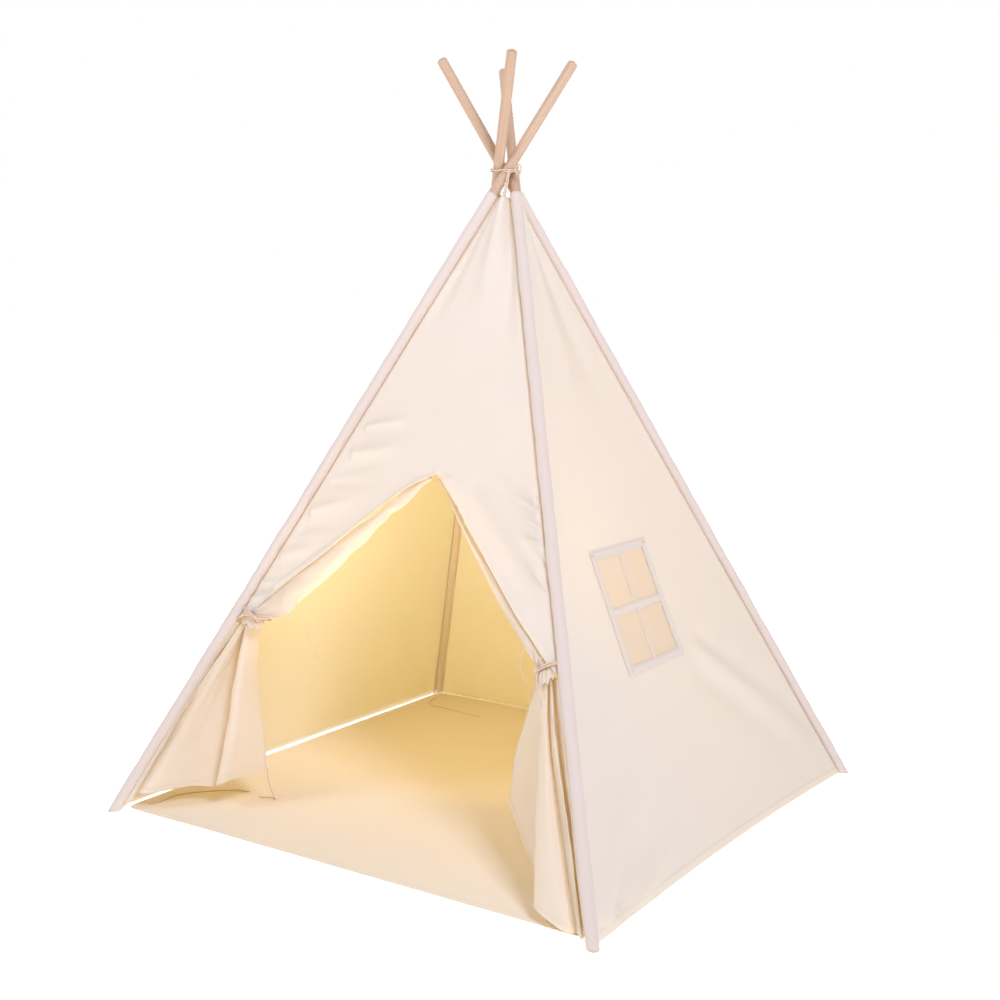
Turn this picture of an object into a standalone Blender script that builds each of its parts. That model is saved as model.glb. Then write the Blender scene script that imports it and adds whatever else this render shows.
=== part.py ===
"""Kids teepee: four sectional wooden poles lashed where they cross, a sewn cotton cover with
pole pockets, a door with tied-back panels, a screened window and a loose floor mat.

Units are metres and +Z is up. The origin is on the floor in the middle of the tent, and the
door faces -Y. The lead motion lifts the crossing while the four poles gather under it.
"""

from math import atan2, cos, hypot, pi, sin, sqrt, tau

import bmesh
import bpy
from mathutils import Matrix, Vector

# Driving sizes of the frame
CROSS_HEIGHT = 1.371        # where the poles cross, above the floor
FOOT_REACH = 0.837          # a pole's foot from its own hinge, measured along the floor
POLE_LENGTH = 1.875         # the three sections of a pole, joined
POLE_RADIUS = 0.011
CLEARANCE = 0.0003          # between neighbours that touch

# Pole sections and their ferrules
SECTION_LENGTH = 0.625
TENON_RADIUS = 0.0094
TENON_LENGTH = 0.030
FERRULE_BORE = 0.0097
TOP_DOME = 0.006            # height of the rounded end of a pole
EDGE_ROUND = 0.0015

# Cloth
CLOTH = 0.0015
SLEEVE_WALL = 0.0012
SLEEVE_SLACK = 0.0004       # the pole pocket is looser than its pole
SLEEVE_TOP = 0.058          # the pocket's upper end, below the crossing along the pole
PANEL_TOP = 0.066           # the panels' upper edge, below the crossing along the pole
HEM_CORNER = 0.004          # the hem above the floor at the poles
HEM_ARCH = 0.011            # how much higher the hem is half way between them
PANEL_BELLY = 0.010         # how far a panel hangs inwards half way down

# Door
DOOR_APEX_HEIGHT = 0.737
TIE_HEIGHT = 0.415
ROLL_START_RADIUS = 0.0045
ROLL_END_RADIUS = 0.0095
ROLL_START = 0.020          # the roll's thin end, from the door's apex
ROLL_STOP = 0.030           # the roll's tied end, from the pole
FLAP_REACH = 0.330          # the free corner of a hanging panel, inwards of the pole's foot
NECK_REACH = 0.052          # the gathered cloth at the tie, inwards of the pole
FLAP_DROP = 0.028           # the gathered cloth starts this far under the roll's end
EDGE_STEP_SHARE = 0.02      # a short step along the door's edge, to find which way it runs

# Window in the right panel
WINDOW_WIDTH = 0.240
WINDOW_HEIGHT = 0.262       # measured up the slope of the panel
WINDOW_MIDDLE = 0.488       # height of its middle above the floor
WINDOW_SHIFT = 0.062        # its middle is this much nearer to the front
FRAME_STRIP = 0.019
HOLE_MARGIN = 0.008         # the strips cover the edge of the hole by this much
BAR_WIDE = 0.016
BAR_NARROW = 0.010
SCREEN_GAP = 0.0005

# Cords
CORD_RADIUS = 0.0015
LASHING_TURNS = 2
LASHING_PITCH = 0.0038
LASHING_SLACK = 0.0006
TIE_RADIUS = 0.0017
ROLL_DIPPED_SHARE = 0.88    # where along the roll it has dipped by the tie's thickness
TIE_PLACE_SHARE = 0.95      # where along the roll the tie goes round it
TIE_TAIL = 0.062            # the hanging end of a tie
TIE_SEAT = 0.0005           # room between a slanting cord and the square end of one hung on it
THREAD_RADIUS = 0.0009
THREAD_PLACE_SHARE = 0.72   # where along the roll a thin cord hangs from it
THREAD_TAIL = 0.135
SWING_SHARE = 0.17          # how far a hanging cord swings out, for its length
ANCHOR_OUT = 0.0338         # the cord that holds the cover up, from the tent's axis
ANCHOR_START_TURN = -0.85   # where it leaves the lashing and where it ends, round the axis
ANCHOR_END_TURN = -1.10
BOW_TURN = -0.40            # where the lashing's bow is tied, round the axis
BOW_LENGTH = 0.024
BOW_WIDTH = 0.009

# Floor mat
MAT_SIZE = 1.140
MAT_THICKNESS = 0.003
MAT_CORNER = 0.030
MAT_TIE_RADIUS = 0.0012
CUT_OVERRUN = 0.020         # how far a cutter reaches past what it cuts
HOLDER_SIZE = 0.020

# Routes of the mat's loose corner ties, on the floor plan, as they lie
MAT_TIE_ROUTES = {
    "front_left": (
        (-0.553, -0.530), (-0.545, -0.505), (-0.548, -0.478), (-0.546, -0.452), (-0.536, -0.428),
        (-0.521, -0.406), (-0.503, -0.386), (-0.483, -0.367), (-0.461, -0.350), (-0.434, -0.342),
    ),
    "front_right": (
        (0.553, -0.530), (0.545, -0.545), (0.526, -0.555), (0.502, -0.558), (0.480, -0.552),
        (0.463, -0.536), (0.452, -0.514), (0.436, -0.497),
    ),
    "back_right": (
        (0.553, 0.530), (0.530, 0.519), (0.505, 0.513), (0.480, 0.502), (0.461, 0.483),
        (0.449, 0.460), (0.432, 0.440),
    ),
    "back_left": (
        (-0.553, 0.530), (-0.549, 0.507), (-0.540, 0.485), (-0.524, 0.469), (-0.500, 0.464),
        (-0.475, 0.464), (-0.447, 0.462), (-0.420, 0.457), (-0.386, 0.452), (-0.351, 0.452),
    ),
}
# Route of the tie on the left door panel's free corner, from the corner down onto the mat
FLAP_TIE_ROUTE = (
    (-0.3516, -0.3726, 0.0819), (-0.3506, -0.3716, 0.0600), (-0.3478, -0.3672, 0.0380),
    (-0.3462, -0.3586, 0.0180), (-0.3500, -0.3486, 0.0066), (-0.3602, -0.3424, 0.0047),
    (-0.3750, -0.3452, 0.0047), (-0.3912, -0.3556, 0.0047),
)

# Shares of FLAP_REACH: inwards, to the front, and above the floor, along the panel's hem
LEFT_HEM_SHARES = (
    (0.040, 0.035, 0.036), (0.110, -0.015, 0.060), (0.170, 0.010, 0.100), (0.292, -0.016, 0.117),
    (0.485, -0.007, 0.135), (0.700, -0.030, 0.125), (0.651, 0.075, 0.156), (0.740, 0.115, 0.200),
    (0.884, 0.077, 0.233), (0.985, 0.045, 0.250),
)
RIGHT_HEM_SHARES = (
    (0.040, 0.035, 0.036), (0.225, 0.015, 0.036), (0.165, 0.085, 0.036), (0.214, 0.150, 0.041),
    (0.392, 0.226, 0.089), (0.530, 0.115, 0.090), (0.811, 0.156, 0.194), (0.992, 0.176, 0.282),
    (1.177, 0.198, 0.394),
)
LEFT_BULGE_SHARE = 0.0
RIGHT_BULGE_SHARE = 0.19

CORNERS = ("front_left", "front_right", "back_right", "back_left")
PANELS = ("front_panel", "right_panel", "back_panel", "left_panel")
QUARTER = pi / 2

TILT = atan2(FOOT_REACH, CROSS_HEIGHT)
POLE_REACH = hypot(FOOT_REACH, CROSS_HEIGHT)      # from the hinge to the foot
TWIST = (2 * POLE_RADIUS + CLEARANCE) * sqrt(2 * cos(TILT) ** 2 + sin(TILT) ** 2) / (2 * cos(TILT))
SLEEVE_BORE = POLE_RADIUS + SLEEVE_SLACK
SLEEVE_RADIUS = SLEEVE_BORE + SLEEVE_WALL


def clear_scene():
    for thing in list(bpy.data.objects):
        bpy.data.objects.remove(thing, do_unlink=True)


def collection(name):
    made = bpy.data.collections.new(name)
    bpy.context.scene.collection.children.link(made)
    return made


clear_scene()
PARTS = collection("kids_teepee")
CUTTERS = collection("cutters")


def material(name, colour, roughness, metallic=0.0):
    made = bpy.data.materials.new(name)
    made.use_nodes = True
    shader = made.node_tree.nodes["Principled BSDF"]
    shader.inputs["Base Color"].default_value = (*colour, 1.0)
    shader.inputs["Roughness"].default_value = roughness
    shader.inputs["Metallic"].default_value = metallic
    made.diffuse_color = (*colour, 1.0)
    return made


WOOD = material("beech", (0.78, 0.56, 0.38), 0.55)
STEEL = material("ferrule_steel", (0.62, 0.62, 0.63), 0.32, 1.0)
COTTON = material("cover_cotton", (0.90, 0.80, 0.72), 0.92)
POCKET = material("pocket_cotton", (0.85, 0.75, 0.68), 0.92)
TRIM = material("trim_cotton", (0.93, 0.85, 0.79), 0.90)
SCREEN = material("window_screen", (0.80, 0.66, 0.48), 0.85)
CORD = material("cotton_cord", (0.80, 0.70, 0.60), 0.90)
MAT = material("mat_cotton", (0.93, 0.78, 0.62), 0.94)


def in_collection(thing, group):
    for old in list(thing.users_collection):
        old.objects.unlink(thing)
    group.objects.link(thing)


def as_object(name, mesh, finish, group=PARTS):
    mesh.name = name
    made = bpy.data.objects.new(name, mesh)
    group.objects.link(made)
    mesh.materials.clear()
    mesh.materials.append(finish)
    return made


def smooth(thing):
    thing.data.shade_smooth()
    thing.data.set_sharp_from_angle(angle=QUARTER / 2)


def holder(name, matrix, parent=None, parent_matrix=None):
    made = bpy.data.objects.new(name, None)
    PARTS.objects.link(made)
    made.empty_display_size = HOLDER_SIZE
    if parent is None:
        made.matrix_world = matrix
    else:
        made.parent = parent
        made.matrix_local = parent_matrix.inverted() @ matrix
    return made


def hold(thing, parent, parent_matrix, in_world=True):
    thing.parent = parent
    thing.matrix_parent_inverse = parent_matrix.inverted() if in_world else Matrix.Identity(4)
    return thing


# Where the poles run: each passes the tent's axis at the same small distance, in the same turn,
# so they lie against each other at the crossing like the spokes of a pinwheel.

def outward(index):
    """The flat direction from the crossing to a pole's foot."""
    corner = -3 * pi / 4 + index * QUARTER
    angle = corner - atan2(TWIST, FOOT_REACH)
    return Vector((cos(angle), sin(angle), 0))


def sideways(index):
    out = outward(index)
    return Vector((-out.y, out.x, 0))


def hinge_point(index):
    return sideways(index) * TWIST + Vector((0, 0, CROSS_HEIGHT))


def pole_point(index, reach):
    """A point of a pole's axis, a given distance below its hinge."""
    down = outward(index) * sin(TILT) - Vector((0, 0, cos(TILT)))
    return hinge_point(index) + down * reach


def pole_matrix(index):
    """The pole's frame: Z up the pole, Y along its hinge, X out of the tent."""
    up = Vector((0, 0, cos(TILT))) - outward(index) * sin(TILT)
    across = sideways(index)
    out = across.cross(up)
    turn = Matrix((out, across, up)).transposed().to_4x4()
    return Matrix.Translation(hinge_point(index)) @ turn


def reach_at(height):
    return (CROSS_HEIGHT - height) / cos(TILT)


def turned(name, profile, finish, steps=20):
    """A solid of revolution about Z from (radius, height) points, top first."""
    mesh = bpy.data.meshes.new(name)
    mesh.from_pydata([(r, 0, z) for r, z in profile], [(i, i + 1) for i in range(len(profile) - 1)], [])
    made = as_object(name, mesh, finish)
    screw = made.modifiers.new("turn", "SCREW")
    screw.axis = "Z"
    screw.angle = tau
    screw.steps = steps
    screw.render_steps = steps
    screw.use_merge_vertices = True
    screw.merge_threshold = CLEARANCE / 10
    screw.use_smooth_shade = True
    return made


# Pole ends lie inside the pocket's closed lower end, which is cut flat on the floor
BORE_LIFT = (SLEEVE_WALL + SLEEVE_BORE * sin(TILT)) / cos(TILT)
POLE_LIFT = (SLEEVE_WALL + CLEARANCE + POLE_RADIUS * sin(TILT)) / cos(TILT)


def section_profile(low, high, first, last):
    """One pole section from low to high along the pole: tenons where it enters a ferrule."""
    shape = []
    if last:
        rounds = 4
        for i in range(rounds + 1):
            turn = i / rounds * QUARTER
            shape.append((POLE_RADIUS * sin(turn), high - TOP_DOME * (1 - cos(turn))))
    else:
        shape += [(0, high), (TENON_RADIUS, high), (TENON_RADIUS, high - TENON_LENGTH)]
        shape.append((POLE_RADIUS, high - TENON_LENGTH))
    if first:
        shape += [(POLE_RADIUS, low + EDGE_ROUND), (POLE_RADIUS - EDGE_ROUND, low), (0, low)]
    else:
        shape += [(POLE_RADIUS, low + TENON_LENGTH), (TENON_RADIUS, low + TENON_LENGTH)]
        shape += [(TENON_RADIUS, low), (0, low)]
    return shape


def ferrule_profile(middle):
    """A steel tube round two tenons, closed to a ring by returning to its first point."""
    half = TENON_LENGTH - CLEARANCE
    ends = ((POLE_RADIUS, half), (POLE_RADIUS, -half), (FERRULE_BORE, -half), (FERRULE_BORE, half))
    return [(r, middle + z) for r, z in ends + ends[:1]]


def make_pole(index, parent, matrix):
    corner = CORNERS[index]
    foot = -POLE_REACH + POLE_LIFT
    top = POLE_LENGTH - POLE_REACH
    joints = (foot + SECTION_LENGTH, foot + 2 * SECTION_LENGTH)
    seam = CLEARANCE / 2
    spans = (
        ("lower", foot, joints[0] - seam, True, False),
        ("middle", joints[0] + seam, joints[1] - seam, False, False),
        ("upper", joints[1] + seam, top, False, True),
    )
    for part, low, high, first, last in spans:
        rod = turned(f"pole_{corner}_{part}", section_profile(low, high, first, last), WOOD)
        hold(rod, parent, matrix, in_world=False)
    for part, middle in zip(("lower", "upper"), joints):
        ring = turned(f"ferrule_{corner}_{part}", ferrule_profile(middle), STEEL)
        hold(ring, parent, matrix, in_world=False)


def cutter_box(name, size, matrix):
    mesh = bpy.data.meshes.new(name)
    bm = bmesh.new()
    bmesh.ops.create_cube(bm, size=1)
    bmesh.ops.scale(bm, vec=size, verts=bm.verts)
    bmesh.ops.transform(bm, matrix=matrix, verts=bm.verts)
    bm.to_mesh(mesh)
    bm.free()
    made = as_object(name, mesh, COTTON, CUTTERS)
    made.hide_render = True
    made.display_type = "WIRE"
    return made


def cut(thing, tool):
    step = thing.modifiers.new("cut", "BOOLEAN")
    step.operation = "DIFFERENCE"
    step.solver = "EXACT"
    step.object = tool


def make_sleeve(index, parent, matrix, floor):
    """The pocket sewn round a pole: open at the top, closed and flat where it stands."""
    corner = CORNERS[index]
    top = -SLEEVE_TOP
    bore_end = -POLE_REACH + BORE_LIFT
    low = -POLE_REACH - CUT_OVERRUN
    shape = [(SLEEVE_BORE, bore_end), (SLEEVE_BORE, top), (SLEEVE_RADIUS, top), (SLEEVE_RADIUS, low), (0, low)]
    shape = [(0, bore_end)] + shape
    pocket = turned(f"sleeve_{corner}", shape, POCKET)
    hold(pocket, parent, matrix, in_world=False)
    cut(pocket, floor)


def sleeve_half(angle):
    """Half the pocket's width in a level section, in a direction off its own upright plane."""
    along = cos(angle) * cos(TILT) / SLEEVE_RADIUS
    across = sin(angle) / SLEEVE_RADIUS
    return 1 / hypot(along, across)


def half_chord(reach):
    """Half the level distance between the axes of two neighbouring poles."""
    return hypot(TWIST, reach * sin(TILT)) / sqrt(2)


def chord_turn(reach):
    """How far the level line between two neighbouring poles is turned by the twist."""
    return atan2(TWIST, reach * sin(TILT)) - atan2(TWIST, FOOT_REACH)


def panel_half(reach):
    """From the middle of a panel to its seam at a pocket."""
    lean = QUARTER / 2 - atan2(TWIST, reach * sin(TILT))
    return half_chord(reach) - sleeve_half(lean) - CLEARANCE


def panel_place(index, reach, across, proud=0.0):
    """A point of a panel: its distance below the crossing, level from its middle, and outwards."""
    angle = -QUARTER + index * QUARTER + chord_turn(reach)
    out = Vector((cos(angle), sin(angle), 0))
    along = Vector((-sin(angle), cos(angle), 0))
    height = CROSS_HEIGHT - reach * cos(TILT)
    lean = atan2(sin(TILT) / sqrt(2), cos(TILT))
    normal = out * cos(lean) + Vector((0, 0, sin(lean)))
    return out * half_chord(reach) + Vector((0, 0, height)) + along * across + normal * proud


def belly(share_across, share_down):
    return -PANEL_BELLY * (1 - share_across ** 2) * sin(pi * share_down)


def hem_reach(share_across):
    return reach_at(HEM_CORNER + HEM_ARCH * (1 - share_across ** 2))


def wall_place(index, across, reach, proud=0.0):
    """A point of a whole panel with its belly, from its level place and its reach."""
    share_across = across / panel_half(reach)
    down = (reach - PANEL_TOP) / (hem_reach(share_across) - PANEL_TOP)
    return panel_place(index, reach, across, proud + belly(share_across, down))


def sheet(name, place, columns, rows, finish, thickness=CLOTH):
    """A sheet of cloth: an open grid laid by place(across, down), each from 0 to 1, and thickened."""
    mesh = bpy.data.meshes.new(name)
    bm = bmesh.new()
    bmesh.ops.create_grid(bm, x_segments=columns, y_segments=rows, size=1 / 2)
    half = Vector((1, 1, 0)) / 2
    for vert in bm.verts:
        spot = vert.co + half
        vert.co = place(spot.x, spot.y)
    bm.to_mesh(mesh)
    bm.free()
    made = as_object(name, mesh, finish)
    solid = made.modifiers.new("cloth", "SOLIDIFY")
    solid.thickness = thickness
    solid.offset = 0
    smooth(made)
    return made


def make_wall(index, parent, matrix):
    """A whole panel from the crossing down to its arched hem."""
    def place(across, down):
        share = 2 * across - 1
        reach = PANEL_TOP + (hem_reach(share) - PANEL_TOP) * down
        return wall_place(index, share * panel_half(reach), reach)

    wall = sheet(PANELS[index], place, 12, 20, COTTON)
    return hold(wall, parent, matrix)


APEX_REACH = reach_at(DOOR_APEX_HEIGHT)
TIE_REACH = reach_at(TIE_HEIGHT)


def door_edge_reach(share_across):
    """The reach at which the straight edge from the door's apex to a tie meets a column."""
    slope = panel_half(TIE_REACH) / TIE_REACH
    edge = panel_half(TIE_REACH) / (TIE_REACH - APEX_REACH)
    return edge * APEX_REACH / (edge - share_across * slope)


def make_front(parent, matrix):
    """The front panel: whole above the door's apex, then open between its two straight edges."""
    def place(across, down):
        share = 2 * across - 1
        edge = door_edge_reach(abs(share))
        reach = PANEL_TOP + (edge - PANEL_TOP) * down
        return panel_place(0, reach, share * panel_half(reach))

    front = sheet(PANELS[0], place, 16, 14, COTTON)
    return hold(front, parent, matrix)


def smooth_route(points, parts):
    """A round route through hand-placed points, with this many steps to each span."""
    ends = [points[0] * 2 - points[1]] + list(points) + [points[-1] * 2 - points[-2]]
    route = []
    for a, b, c, d in zip(ends, ends[1:], ends[2:], ends[3:]):
        for i in range(parts):
            t = i / parts
            route.append((b * 2 + (c - a) * t + (a * 2 - b * 5 + c * 4 - d) * t ** 2
                          + (b * 3 - a - c * 3 + d) * t ** 3) / 2)
    route.append(points[-1].copy())
    return route


def tube(name, route, radius, finish, closed=False, sides=2, radii=None):
    """A cord along a route: a bevelled curve with capped ends, turned into a welded mesh."""
    curve = bpy.data.curves.new(name, "CURVE")
    curve.dimensions = "3D"
    curve.bevel_depth = radius
    curve.bevel_resolution = sides
    curve.use_fill_caps = True
    run = curve.splines.new("POLY")
    run.points.add(len(route) - 1)
    for i, point in enumerate(route):
        run.points[i].co = (*point, 1)
        run.points[i].radius = radii[i] if radii else 1
    run.use_cyclic_u = closed
    guide = bpy.data.objects.new(name + "_guide", curve)
    PARTS.objects.link(guide)
    seen = guide.evaluated_get(bpy.context.evaluated_depsgraph_get())
    mesh = bpy.data.meshes.new_from_object(seen)
    bpy.data.objects.remove(guide, do_unlink=True)
    bm = bmesh.new()
    bm.from_mesh(mesh)
    bmesh.ops.remove_doubles(bm, verts=bm.verts, dist=CLEARANCE / 10)
    bm.to_mesh(mesh)
    bm.free()
    made = as_object(name, mesh, finish)
    smooth(made)
    return made


def door_line(side, share, drop):
    """A point beside the door's edge: side -1 left or 1 right, and drop below the edge."""
    reach = door_edge_reach(share)
    across = side * share * panel_half(reach)
    next_share = share + EDGE_STEP_SHARE
    ahead = door_edge_reach(next_share)
    run = Vector((panel_half(ahead) * next_share - panel_half(reach) * share, ahead - reach))
    run.normalize()
    slope = cos(TILT) / sqrt(cos(TILT) ** 2 + sin(TILT) ** 2 / 2)
    down = Vector((-run.y * side, run.x * slope))
    return panel_place(0, reach + down.y * drop, across + down.x * drop)


def roll_radius(along):
    return ROLL_START_RADIUS + (ROLL_END_RADIUS - ROLL_START_RADIUS) * along


def roll_point(side, along):
    """A point of the roll's axis: it dips from the panel's edge where the tie goes round it."""
    edge = (door_line(side, 1, 0) - door_line(side, 0, 0)).length
    start = ROLL_START / edge
    stop = 1 - ROLL_STOP / edge
    dip = (2 * TIE_RADIUS + 4 * CLEARANCE) * min(1, along / ROLL_DIPPED_SHARE) ** 5
    drop = roll_radius(along) + CLOTH / 2 + CLEARANCE + dip
    return door_line(side, start + (stop - start) * along, drop)


def make_roll(side, name, parent, matrix):
    """The door's turned-back edge, rolled thin at the apex and thicker where it is tied."""
    steps = 12
    route = [roll_point(side, i / steps) for i in range(steps + 1)]
    radii = [roll_radius(i / steps) / ROLL_END_RADIUS for i in range(steps + 1)]
    roll = tube(name, route, ROLL_END_RADIUS, TRIM, radii=radii, sides=3)
    return hold(roll, parent, matrix)


def door_axes(side):
    """Inwards along the floor from a front pole, and level to the front, for one side."""
    index = 0 if side < 0 else 1
    foot = pole_point(index, POLE_REACH)
    inward = -Vector((foot.x, foot.y, 0)).normalized()
    front = Vector((-side * inward.y, side * inward.x, 0))
    if front.y > 0:
        front = -front
    return index, inward, front


def neck_point(side):
    """The middle of the gathered cloth, just under the roll's tied end."""
    index, inward = door_axes(side)[:2]
    return pole_point(index, TIE_REACH) + inward * NECK_REACH - Vector((0, 0, FLAP_DROP))


def seam_point(side, reach):
    """On the pocket's door side, where a front panel is sewn to it."""
    index = 0 if side < 0 else 1
    across = side * (panel_half(reach) - CLOTH)
    return panel_place(0, reach, across)


def make_flap(side, name, shares, bulge, parent, matrix):
    """The lower half of a door panel: sewn to its pocket, gathered at the tie, hanging in folds."""
    index, inward, front = door_axes(side)
    foot = pole_point(index, POLE_REACH)
    hem = [foot + (inward * a + front * b + Vector((0, 0, c))) * FLAP_REACH for a, b, c in shares]
    hem = smooth_route([seam_point(side, reach_at(hem[0].z))] + hem[1:], 4)
    neck = neck_point(side)
    top_seam = seam_point(side, TIE_REACH + FLAP_DROP)
    span = len(hem) - 1
    gather = NECK_REACH / FLAP_REACH

    def place(across, down):
        spot = hem[round(across * span)]
        flat = spot - hem[0]
        flat.z = 0
        top = top_seam + flat * gather
        blend = min(1, across * 4)
        top.z = top_seam.z + (neck.z - top_seam.z) * blend
        line = top.lerp(spot, down)
        swell = sin(pi * down) * across ** 2 * bulge * FLAP_REACH
        return line + inward * swell

    flap = sheet(name, place, span, 12, COTTON)
    return hold(flap, parent, matrix)


def hang_cord(name, start, across, length, radius, parent, matrix):
    """A cord end that hangs: it leaves with a slight swing and then falls straight."""
    steps = 16
    route = []
    for i in range(steps + 1):
        share = i / steps
        swing = sin(share * QUARTER) * length * SWING_SHARE
        route.append(start + across * swing - Vector((0, 0, length * share)))
    return hold(tube(name, route, radius, CORD), parent, matrix)


def make_tie(side, word, parent, matrix):
    """The tie: a loop round the end of the roll."""
    along = TIE_PLACE_SHARE
    centre = roll_point(side, along)
    run = (roll_point(side, 1) - centre).normalized()
    over = run.cross(Vector((0, 0, 1))).normalized()
    under = over.cross(run)
    radius = ROLL_END_RADIUS + CLEARANCE + TIE_RADIUS
    steps = 18
    route = []
    for i in range(steps):
        turn = tau * i / steps
        route.append(centre + (over * cos(turn) + under * sin(turn)) * radius)
    loop = tube(f"tie_loop_{word}", route, TIE_RADIUS, CORD, closed=True)
    hold(loop, parent, matrix)
    across = Vector((-side, 0, 0))
    if under.z > 0:
        under = -under
    start = centre + under * (radius + TIE_RADIUS + TIE_SEAT)
    hang_cord(f"tie_end_{word}", start, across, TIE_TAIL, TIE_RADIUS, parent, matrix)
    start = roll_point(side, THREAD_PLACE_SHARE)
    below = roll_radius(THREAD_PLACE_SHARE) / sqrt(1 - run.z ** 2) + TIE_SEAT + CLEARANCE
    start = start - Vector((0, 0, below))
    hang_cord(f"thread_end_{word}", start, across, THREAD_TAIL, THREAD_RADIUS, parent, matrix)


def make_lashing(parent, matrix):
    """Two turns of cord round the four poles: arcs over each pole, straight between them."""
    arc = 6
    centre_out = TWIST
    corner = POLE_RADIUS / cos(TILT) + CORD_RADIUS + LASHING_SLACK
    turns = LASHING_TURNS * 4
    start = CROSS_HEIGHT - LASHING_PITCH * LASHING_TURNS / 2
    route = []
    for k in range(turns):
        side = sideways(k)
        base = atan2(side.y, side.x)
        for i in range(arc):
            share = i / (arc - 1)
            angle = base + (share - 1 / 2) * QUARTER
            height = start + LASHING_PITCH * (k + share * (arc - 1) / arc) / 4
            spot = side * centre_out + Vector((cos(angle), sin(angle), 0)) * corner
            route.append(Vector((spot.x, spot.y, height)))
    gap = min(
        (a - b).length - 2 * CORD_RADIUS
        for i, a in enumerate(route)
        for b in route[i + arc * 2:]
    )
    print(f"lashing: least gap between turns {gap * 1000:.2f} mm")
    cord = tube("lashing_cord", route, CORD_RADIUS, CORD, sides=1)
    hold(cord, parent, matrix)
    return route


def round_axis(turn, radius, height):
    return Vector((radius * cos(turn), radius * sin(turn), height))


def lashing_radius(winding, turn):
    """How far the lashing lies from the tent's axis in one direction."""
    near = max(winding, key=lambda spot: (spot.x * cos(turn) + spot.y * sin(turn)) / spot.xy.length)
    return near.xy.length


def make_lashing_ends(winding, parent, matrix):
    """The bow of the lashing, and the cord from it that holds the cover's top."""
    end = panel_place(0, PANEL_TOP, 0).z + CORD_RADIUS + CLEARANCE
    beside = 2 * CORD_RADIUS + CLEARANCE
    start_out = lashing_radius(winding, ANCHOR_START_TURN) + beside
    steps = 10
    route = []
    for i in range(steps + 1):
        share = i / steps
        turn = ANCHOR_START_TURN + (ANCHOR_END_TURN - ANCHOR_START_TURN) * share
        out = start_out + (ANCHOR_OUT - start_out) * share
        route.append(round_axis(turn, out, CROSS_HEIGHT + (end - CROSS_HEIGHT) * share))
    hold(tube("lashing_anchor", route, CORD_RADIUS, CORD), parent, matrix)
    knot_out = lashing_radius(winding, BOW_TURN) + beside
    centre = round_axis(BOW_TURN, knot_out + BOW_LENGTH / 2, CROSS_HEIGHT)
    out = round_axis(BOW_TURN, 1, 0)
    steps = 16
    route = []
    for i in range(steps):
        turn = tau * i / steps
        lift = sin(turn) * (1 + cos(turn) / 2)
        route.append(centre + out * (cos(turn) * BOW_LENGTH / 2) + Vector((0, 0, lift * BOW_WIDTH)))
    hold(tube("lashing_bow", route, CORD_RADIUS, CORD, closed=True), parent, matrix)


def make_mat_ties():
    height = MAT_THICKNESS + MAT_TIE_RADIUS + CLEARANCE
    for corner, places in MAT_TIE_ROUTES.items():
        points = [Vector((x, y, height)) for x, y in places]
        tube(f"mat_tie_{corner}", smooth_route(points, 3), MAT_TIE_RADIUS, CORD)


def make_window(parent, matrix):
    """The window in the right panel: a screen in a hole, strips sewn round it, and glazing bars."""
    index = 1
    middle = reach_at(WINDOW_MIDDLE)
    slope = sqrt(cos(TILT) ** 2 + sin(TILT) ** 2 / 2)
    centre = wall_place(index, -WINDOW_SHIFT, middle)
    along = (wall_place(index, 0, middle) - centre).normalized()
    up = wall_place(index, -WINDOW_SHIFT, middle - WINDOW_HEIGHT / 4)
    up = (up - wall_place(index, -WINDOW_SHIFT, middle + WINDOW_HEIGHT / 4)).normalized()
    out = along.cross(up)
    frame = Matrix.Translation(centre) @ Matrix((along, up, out)).transposed().to_4x4()
    deep = 2 * CUT_OVERRUN

    def box(name, width, height, x=0.0, y=0.0):
        shift = Matrix.Translation((x, y, 0))
        return cutter_box(name, (width, height, deep), frame @ shift)

    def patch(width, height, proud, columns, rows, name, finish, thickness=CLOTH):
        def place(across, down):
            reach = middle + height * (down - 1 / 2) / slope
            return wall_place(index, -WINDOW_SHIFT + width * (across - 1 / 2), reach, proud)
        made = sheet(name, place, columns, rows, finish, thickness)
        return hold(made, parent, matrix)

    inner_width = WINDOW_WIDTH - 2 * FRAME_STRIP
    inner_height = WINDOW_HEIGHT - 2 * FRAME_STRIP
    hole_width = inner_width + 2 * HOLE_MARGIN
    hole_height = inner_height + 2 * HOLE_MARGIN
    hole = box("window_hole_cutter", hole_width, hole_height)
    proud = CLOTH + CLEARANCE * 2
    patch(hole_width - 2 * SCREEN_GAP, hole_height - 2 * SCREEN_GAP, 0, 6, 6, "window_screen", SCREEN)
    frame_piece = patch(WINDOW_WIDTH, WINDOW_HEIGHT, proud, 6, 6, "window_frame", TRIM)
    cut(frame_piece, box("window_frame_cutter", inner_width, inner_height))
    bars = patch(inner_width - 2 * SCREEN_GAP, inner_height - 2 * SCREEN_GAP, proud, 6, 6, "window_bars", TRIM)
    pane_width = (inner_width - BAR_NARROW) / 2 + CUT_OVERRUN
    pane_height = (inner_height - BAR_WIDE) / 2 + CUT_OVERRUN
    for i, x in enumerate((-1, 1)):
        for j, y in enumerate((-1, 1)):
            shift_x = x * (BAR_NARROW + pane_width) / 2
            shift_y = y * (BAR_WIDE + pane_height) / 2
            cut(bars, box(f"pane_cutter_{i}_{j}", pane_width, pane_height, shift_x, shift_y))
    return hole


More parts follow.
